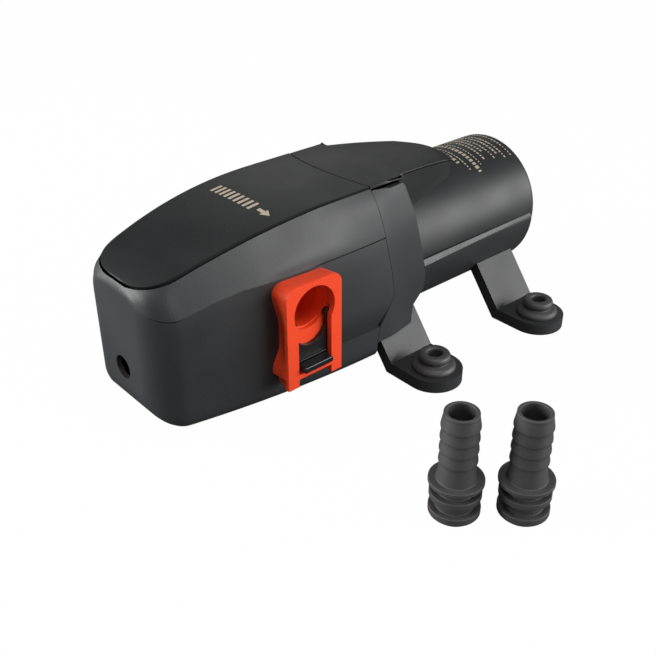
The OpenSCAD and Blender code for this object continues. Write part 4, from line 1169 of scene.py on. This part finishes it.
# %% Outside of a port frame
KEYHOLE_R, BORE_R, SLOT_W, FORK_W = 9.94, 9.44, 16.4, 20.8
FACE_T, CHANNEL_T = 2.4, 2.2
CROSSBAR_Z, CROSSBAR_H = 3.4 - FRAME_DROP, 2.0
CHANNEL_DEPTH = FACE_T + CHANNEL_T
SEAT_DEPTH = CHANNEL_DEPTH + 1.8
FRAME_CORNER_R = 5.0
FRAME_DEPTHS = (0, 1.2, 2.4, 4, 5.8, 7.7, 9.8, 12)
WALL_HEIGHTS = (5, 2.5, 0, -2.5, -5, -8, -11, -14, -17, -20, -22, -24, -25.5, -26.8, -27.1, -29,
                -FRAME_DROP)
TUBE_FRONT, TUBE_REAR, TUBE_WALL = -11.5, -27.7, 2.0
PORT_PLACE = at(PORT_X, -PORT_FACE_Y, PORT_Z) @ Matrix.Rotation(math.pi / 2, 4, "X")


def wall_inset(y):
    """How far a side wall is drawn in at its root: a waist, a flare near the foot, then a step."""
    if y < -27:
        return 2.0
    if y < -14:
        return mix(3.0, -0.5, 0.5 - 0.5 * math.cos(math.pi * clamp((-14 - y) / 11.5)))
    return mix(3.0, 0.2, 0.5 - 0.5 * math.cos(math.pi * clamp((y + 8) / 17)))


def frame_ring(depth):
    """The outline of the frame at a depth behind its face."""
    w, r = FRAME_W / 2, FRAME_CORNER_R
    share = clamp((depth - 1.2) / 6.5)
    side = circle(r, (w - r, FRAME_TOP - r), 14, 90, -90)
    side += [(w, y) for y in WALL_HEIGHTS]
    side = [(x - share * wall_inset(y) * clamp(x / (w - r)), y - 0.8 * share * clamp(y / FRAME_TOP))
            for x, y in side]
    return side + [(-x, y) for x, y in reversed(side)]


def loft(name, rings, material):
    """A closed body through flat rings with equal counts, given as (depth, points)."""
    mesh = bmesh.new()
    lines = [[mesh.verts.new((x * MM, y * MM, -depth * MM)) for x, y in ring] for depth, ring in rings]
    for a, b in zip(lines, lines[1:]):
        for i in range(len(a)):
            j = (i + 1) % len(a)
            mesh.faces.new((a[i], a[j], b[j], b[i]))
    mesh.faces.new(lines[0])
    mesh.faces.new(lines[-1])
    bmesh.ops.transform(mesh, matrix=PORT_PLACE, verts=mesh.verts)
    bmesh.ops.recalc_face_normals(mesh, faces=mesh.faces)
    return add_object(name, mesh, material)


print("points round a port frame:", len(frame_ring(0)))

# %% [markdown]
# Keyhole, slot and channel are then cut step by step, the way a drawing of it would be read. A tube
# behind the frame leads on to the pump head. The far frame is a mirror image, and mirroring turns a mesh
# inside out, so its faces are turned back.

# %% Port frames
def mirror_across(piece):
    """Mirrors a piece to the far side and turns its faces outwards again."""
    with editing(piece) as mesh:
        for v in mesh.verts:
            v.co.y = -v.co.y
        bmesh.ops.reverse_faces(mesh, faces=mesh.faces)
    smooth(piece)


def make_frame(name, mirror):
    frame_piece = loft(name, [(d, frame_ring(d)) for d in FRAME_DEPTHS], frame_red)
    bottom = CROSSBAR_Z + CROSSBAR_H
    channel_w = FORK_W + 0.4
    slot = SLOT_W / 2
    cuts = [
        (circle(BORE_R), -30, 20),
        (circle(KEYHOLE_R), -SEAT_DEPTH, 20),
        (box_outline(-slot, bottom, slot, 1), -CHANNEL_DEPTH, 20),
        (box_outline(-slot, -FRAME_DROP - 3, slot, CROSSBAR_Z), -20, 20),
        (box_outline(-channel_w / 2, bottom, channel_w / 2, 4.7), -CHANNEL_DEPTH, -FACE_T),
        (circle(channel_w / 2), -CHANNEL_DEPTH, -FACE_T),
    ]
    for outline, low, high in cuts:
        cut_away(frame_piece, prism(outline, low, high, PORT_PLACE))
    round_edges(frame_piece, 0.7, angle=50, segments=4)
    tube = spin("tube", [(BORE_R, TUBE_REAR), (BORE_R, TUBE_FRONT), (BORE_R + TUBE_WALL, TUBE_FRONT),
                         (BORE_R + TUBE_WALL, TUBE_REAR)], frame_red)
    tube.data.transform(PORT_PLACE)
    smooth(tube)
    join(frame_piece, [tube])
    if mirror:
        mirror_across(frame_piece)
    return frame_piece


for name, node, mirror in (("outlet_port_frame", "outlet_frame", False),
                           ("inlet_port_frame", "inlet_frame", True)):
    finish_piece(make_frame(name, mirror), node, "pump")

# %% [markdown]
# ## Latches
#
# A latch is a flat fork that slides behind the face of the frame, with a small ledge for a finger. Its
# two horns end in rounded tips. A flat moulding needs no more than an outline that is pushed out and
# given soft edges, so fork, ledge and the low ridge above it are all made in that way and joined.

# %% Latches
FORK_Z = CROSSBAR_Z + CROSSBAR_H + 0.2
FORK_ARC_R, FORK_ARC_Z, TIP_R = 8.05, -8.1, 1.75
LEDGE_HALF_W, LEDGE_LOW, LEDGE_HIGH, LEDGE_REACH = 7.3, -25.0, -22.3, 2.4
RIDGE_HALF_W, RIDGE_LOW, RIDGE_HIGH = 7.9, -22.0, -21.2


def rounded_box(x_low, y_low, x_high, y_high, r):
    return (circle(r, (x_high - r, y_low + r), 6, -90, 90) + circle(r, (x_high - r, y_high - r), 6, 0, 90)
            + circle(r, (x_low + r, y_high - r), 6, 90, 90) + circle(r, (x_low + r, y_low + r), 6, 180, 90))


def fork_outline():
    """The fork's right half from the foot up, round its tip and down into the arc, then mirrored."""
    w = FORK_W / 2
    tip = circle(TIP_R, (8.6, -5.4), 14, -20, 235)
    neck = [(8.05, -7.9), (8.1, -8.9)]
    foot = [(0, FORK_Z), (w - 1, FORK_Z), (w, FORK_Z + 1), (w, -7.4)]
    half = foot + tip + neck + circle(FORK_ARC_R, (0, FORK_ARC_Z), 24, -6, -84)
    return half + [(-x, y) for x, y in reversed(half[1:-1])]


def make_latch(name, mirror):
    fork = prism(fork_outline(), -CHANNEL_DEPTH + 0.2, -FACE_T - 0.2, PORT_PLACE, latch_black, name)
    round_edges(fork, 0.4, angle=35, segments=3)
    bar = rounded_box(-LEDGE_HALF_W, LEDGE_LOW, LEDGE_HALF_W, LEDGE_HIGH, 1.1)
    ledge = prism(bar, -CHANNEL_DEPTH + 1.2, LEDGE_REACH, PORT_PLACE, latch_black, "ledge")
    round_edges(ledge, 0.6, angle=50, segments=4)
    bar = rounded_box(-RIDGE_HALF_W, RIDGE_LOW, RIDGE_HALF_W, RIDGE_HIGH, 0.35)
    ridge = prism(bar, -CHANNEL_DEPTH + 0.4, -FACE_T + 0.5, PORT_PLACE, latch_black, "ridge")
    round_edges(ridge, 0.25, angle=50, segments=2)
    join(fork, [ledge, ridge])
    if mirror:
        mirror_across(fork)
    return fork


for name, node, body, mirror in (
        ("outlet_slide_latch", "outlet_latch", "outlet_latch_body", False),
        ("inlet_slide_latch", "inlet_latch", "inlet_latch_body", True)):
    finish_piece(make_latch(name, mirror), node, body)

# %% [markdown]
# ## Hose fittings
#
# A fitting is one moulded piece: two sealing rings and a flange that fit the port, and a tail with ribs
# that hold a hose. Its profile is drawn once, with a loop for the ribs, the corners are eased, and it is
# spun. The two fittings stand loose beside the pump, each on a body of its own.

# %% Hose fittings
RING_R, GROOVE_R, FLANGE_R, RIB_R, TAIL_R, HOSE_BORE_R = 9.2, 6.8, 9.8, 6.8, 6.1, 4.85
RING_H, SEAL_H, MID_RING_H, FLANGE_H, CONE_H, RING_SLOPE = 4.3, 4.2, 2.5, 1.7, 7.4, 1.7
RIB_PITCH, RIB_COUNT = 4.7, 4


def fitting_profile():
    """(radius, height) points from the foot of the bore, up the outside and back to the bore."""
    mid = RING_H + SEAL_H
    mid_top = mid + MID_RING_H
    flange = mid_top + SEAL_H - 0.9
    flange_top = flange + FLANGE_H
    cone_top = flange_top + CONE_H
    top = cone_top + RIB_COUNT * RIB_PITCH + 1.2
    outside = [(RING_R - RING_SLOPE, 0), (RING_R, RING_SLOPE), (RING_R, RING_H), (GROOVE_R, RING_H),
               (GROOVE_R, mid), (RING_R, mid), (RING_R, mid_top), (GROOVE_R, mid_top), (GROOVE_R, flange),
               (FLANGE_R, flange), (FLANGE_R, flange_top), (7.1, flange_top), (TAIL_R, cone_top)]
    for i in range(RIB_COUNT):
        foot = cone_top + i * RIB_PITCH
        outside += [(RIB_R, foot + 0.1), (RIB_R, foot + 0.9), (TAIL_R, foot + RIB_PITCH)]
    return [(HOSE_BORE_R, 0)] + outside + [(TAIL_R, top), (HOSE_BORE_R, top)]


for name, node, body, place in (
        ("outlet_hose_fitting", "outlet_fitting", "outlet_fitting_body", (-89.5, -116.4, 0)),
        ("inlet_hose_fitting", "inlet_fitting", "inlet_fitting_body", (-71.5, -132.3, 0))):
    fitting = spin(name, rounded(fitting_profile(), 0.35), fitting_grey, "Z", place)
    smooth(fitting, 45)
    finish_piece(fitting, node, body)

# %% [markdown]
# ## Marks
#
# The cover carries a flow arrow with plain bars beside it, and the can carries rows of plain dashes
# where a data print would be. A picture would be unsharp close up, so the marks are meshes, no thicker
# than paint. The arrow is laid on the crown of the cover in small patches that follow it.

# %% Flow arrow
PAINT_T = 0.06


def on_cover(x, y):
    return (x, y, edge_z(x) + crown(x, y / cover_half(x)) + PAINT_T)


def cover_patch(mesh, corners, steps=6):
    """A small four-sided patch of paint that follows the crown of the cover."""
    (ax, ay), (bx, by), (cx, cy), (dx, dy) = corners
    grid = []
    for v in (k / steps for k in range(steps + 1)):
        places = [(mix(mix(ax, bx, u / steps), mix(dx, cx, u / steps), v),
                   mix(mix(ay, by, u / steps), mix(dy, cy, u / steps), v)) for u in range(steps + 1)]
        grid.append([mesh.verts.new(Vector(on_cover(x, y)) * MM) for x, y in places])
    for a, b in zip(grid, grid[1:]):
        for i in range(steps):
            mesh.faces.new((a[i], a[i + 1], b[i + 1], b[i]))


ARROW_X, ARROW_NECK_Y, ARROW_TIP_Y = -91.2, -15.8, -19.4
BAR_COUNT, BAR_PITCH, BAR_W, FIRST_BAR_Y = 9, 2.95, 1.5, -9.8


def make_arrow():
    """An arrow across the cover, and a row of bars behind it."""
    mesh = bmesh.new()
    x, neck, tip = ARROW_X, ARROW_NECK_Y, ARROW_TIP_Y
    cover_patch(mesh, [(x - 0.9, neck), (x + 0.9, neck), (x + 0.9, -12.4), (x - 0.9, -12.4)])
    cover_patch(mesh, [(x - 2.2, neck), (x + 2.2, neck), (x + 0.02, tip), (x - 0.02, tip)])
    for k in range(BAR_COUNT):
        y = FIRST_BAR_Y + BAR_PITCH * k
        cover_patch(mesh, [(x - 2.7, y), (x + 2.7, y), (x + 2.7, y + BAR_W), (x - 2.7, y + BAR_W)])
    bmesh.ops.remove_doubles(mesh, verts=mesh.verts, dist=SAME_POINT)
    bmesh.ops.recalc_face_normals(mesh, faces=mesh.faces)
    for face in mesh.faces:
        if face.normal.z < 0:
            face.normal_flip()
    return add_object("flow_arrow_mark", mesh, mark_paint)


arrow = make_arrow()
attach(arrow, "pump")
print("flow arrow:", len(arrow.data.polygons), "faces")

# %% [markdown]
# The dashes run round the can. Geometry Nodes set them out by rule: each dash has an angle on the can,
# and a fixed seed makes their lengths uneven, as words would be.

# %% Rows of dashes
SHORTEST = 0.45


def dash_row_tree():
    """One row of dashes that stand on a cylinder round the motor axis."""
    tree, given, made = node_tree("dash_row", [
        ("Radius", "NodeSocketFloat"), ("Place along", "NodeSocketFloat"),
        ("First angle", "NodeSocketFloat"), ("Angle step", "NodeSocketFloat"),
        ("Count", "NodeSocketInt"), ("Dash size", "NodeSocketVector"), ("Axis height", "NodeSocketFloat"),
        ("Seed", "NodeSocketInt"), ("Paint", "NodeSocketMaterial")])

    def maths(operation, *values):
        """Adds a sum over numbers and (node, output) pairs, and gives its own pair."""
        node = add_node(tree, "ShaderNodeMath", operation=operation)
        for k, value in enumerate(values):
            if isinstance(value, tuple):
                wire(tree, (*value, node, k))
            else:
                node.inputs[k].default_value = value
        return node, "Value"

    line = add_node(tree, "GeometryNodeMeshLine", {"Offset": (0, 0, 0)})
    index, radius = (add_node(tree, "GeometryNodeInputIndex"), "Index"), (given, "Radius")
    angle = maths("ADD", maths("MULTIPLY", index, (given, "Angle step")), (given, "First angle"))
    across = maths("MULTIPLY", maths("SINE", angle), radius)
    up = maths("ADD", maths("MULTIPLY", maths("COSINE", angle), radius), (given, "Axis height"))
    place = add_node(tree, "ShaderNodeCombineXYZ")
    put = add_node(tree, "GeometryNodeSetPosition")
    wire(tree, (given, "Count", line, "Count"), (given, "Place along", place, "X"), (*across, place, "Y"),
         (*up, place, "Z"), (line, "Mesh", put, "Geometry"), (place, "Vector", put, "Position"))

    dash = add_node(tree, "GeometryNodeMeshCube")
    turn = add_node(tree, "ShaderNodeCombineXYZ")
    uneven = add_node(tree, "FunctionNodeRandomValue", data_type="FLOAT_VECTOR")
    for socket, value in zip(uneven.inputs, ((1, SHORTEST, 1), (1, 1, 1))):
        socket.default_value = value
    copies = add_node(tree, "GeometryNodeInstanceOnPoints")
    wire(tree, (given, "Dash size", dash, "Size"), (*maths("MULTIPLY", angle, -1.0), turn, "X"),
         (given, "Seed", uneven, "Seed"), (put, "Geometry", copies, "Points"),
         (dash, "Mesh", copies, "Instance"), (turn, "Vector", copies, "Rotation"),
         (uneven, "Value", copies, "Scale"))

    real = add_node(tree, "GeometryNodeRealizeInstances")
    paint = add_node(tree, "GeometryNodeSetMaterial")
    wire(tree, (copies, "Instances", real, "Geometry"), (real, "Geometry", paint, "Geometry"),
         (given, "Paint", paint, "Material"), (paint, "Geometry", made, "Geometry"))
    return tree


# place along the can, first angle, angle step, count, height of the dash, its length
DASH_ROWS = [(23.5, -20, 4.8, 15, 1.9, 1.9), (26.3, -31, 3.4, 24, 0.7, 1.4), (30.9, -36, 4.4, 22, 2.0, 1.7),
             (34.2, -30, 3.2, 24, 0.6, 1.3), (38.3, -25, 3.6, 18, 1.0, 1.4), (41.3, -16, 3.6, 15, 1.0, 1.4),
             (44.2, -28, 3.6, 20, 0.8, 1.4), (47.5, -24, 3.6, 19, 1.0, 1.4), (50.3, -31, 3.4, 22, 0.8, 1.3),
             (54.5, -31, 3.4, 20, 0.7, 1.3)]


def make_dashes():
    tree = dash_row_tree()
    rows = []
    for seed, (x, first, step, count, height, length) in enumerate(DASH_ROWS):
        row = add_object("dashes", bmesh.new(), mark_paint)
        run_nodes(row, tree, {
            "Radius": (MOTOR_R + 0.01) * MM, "Place along": x * MM, "First angle": math.radians(first),
            "Angle step": math.radians(step), "Count": count, "Seed": seed,
            "Dash size": (height * MM, length * MM, 2 * PAINT_T * MM), "Axis height": AXIS_Z * MM,
            "Paint": mark_paint})
        rows.append(row)
    rows[0].name = "motor_print_marks"
    join(rows[0], rows[1:])
    return rows[0]


dashes = make_dashes()
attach(dashes, "pump")
print("dashes on the can:", len(dashes.data.polygons) // 6)
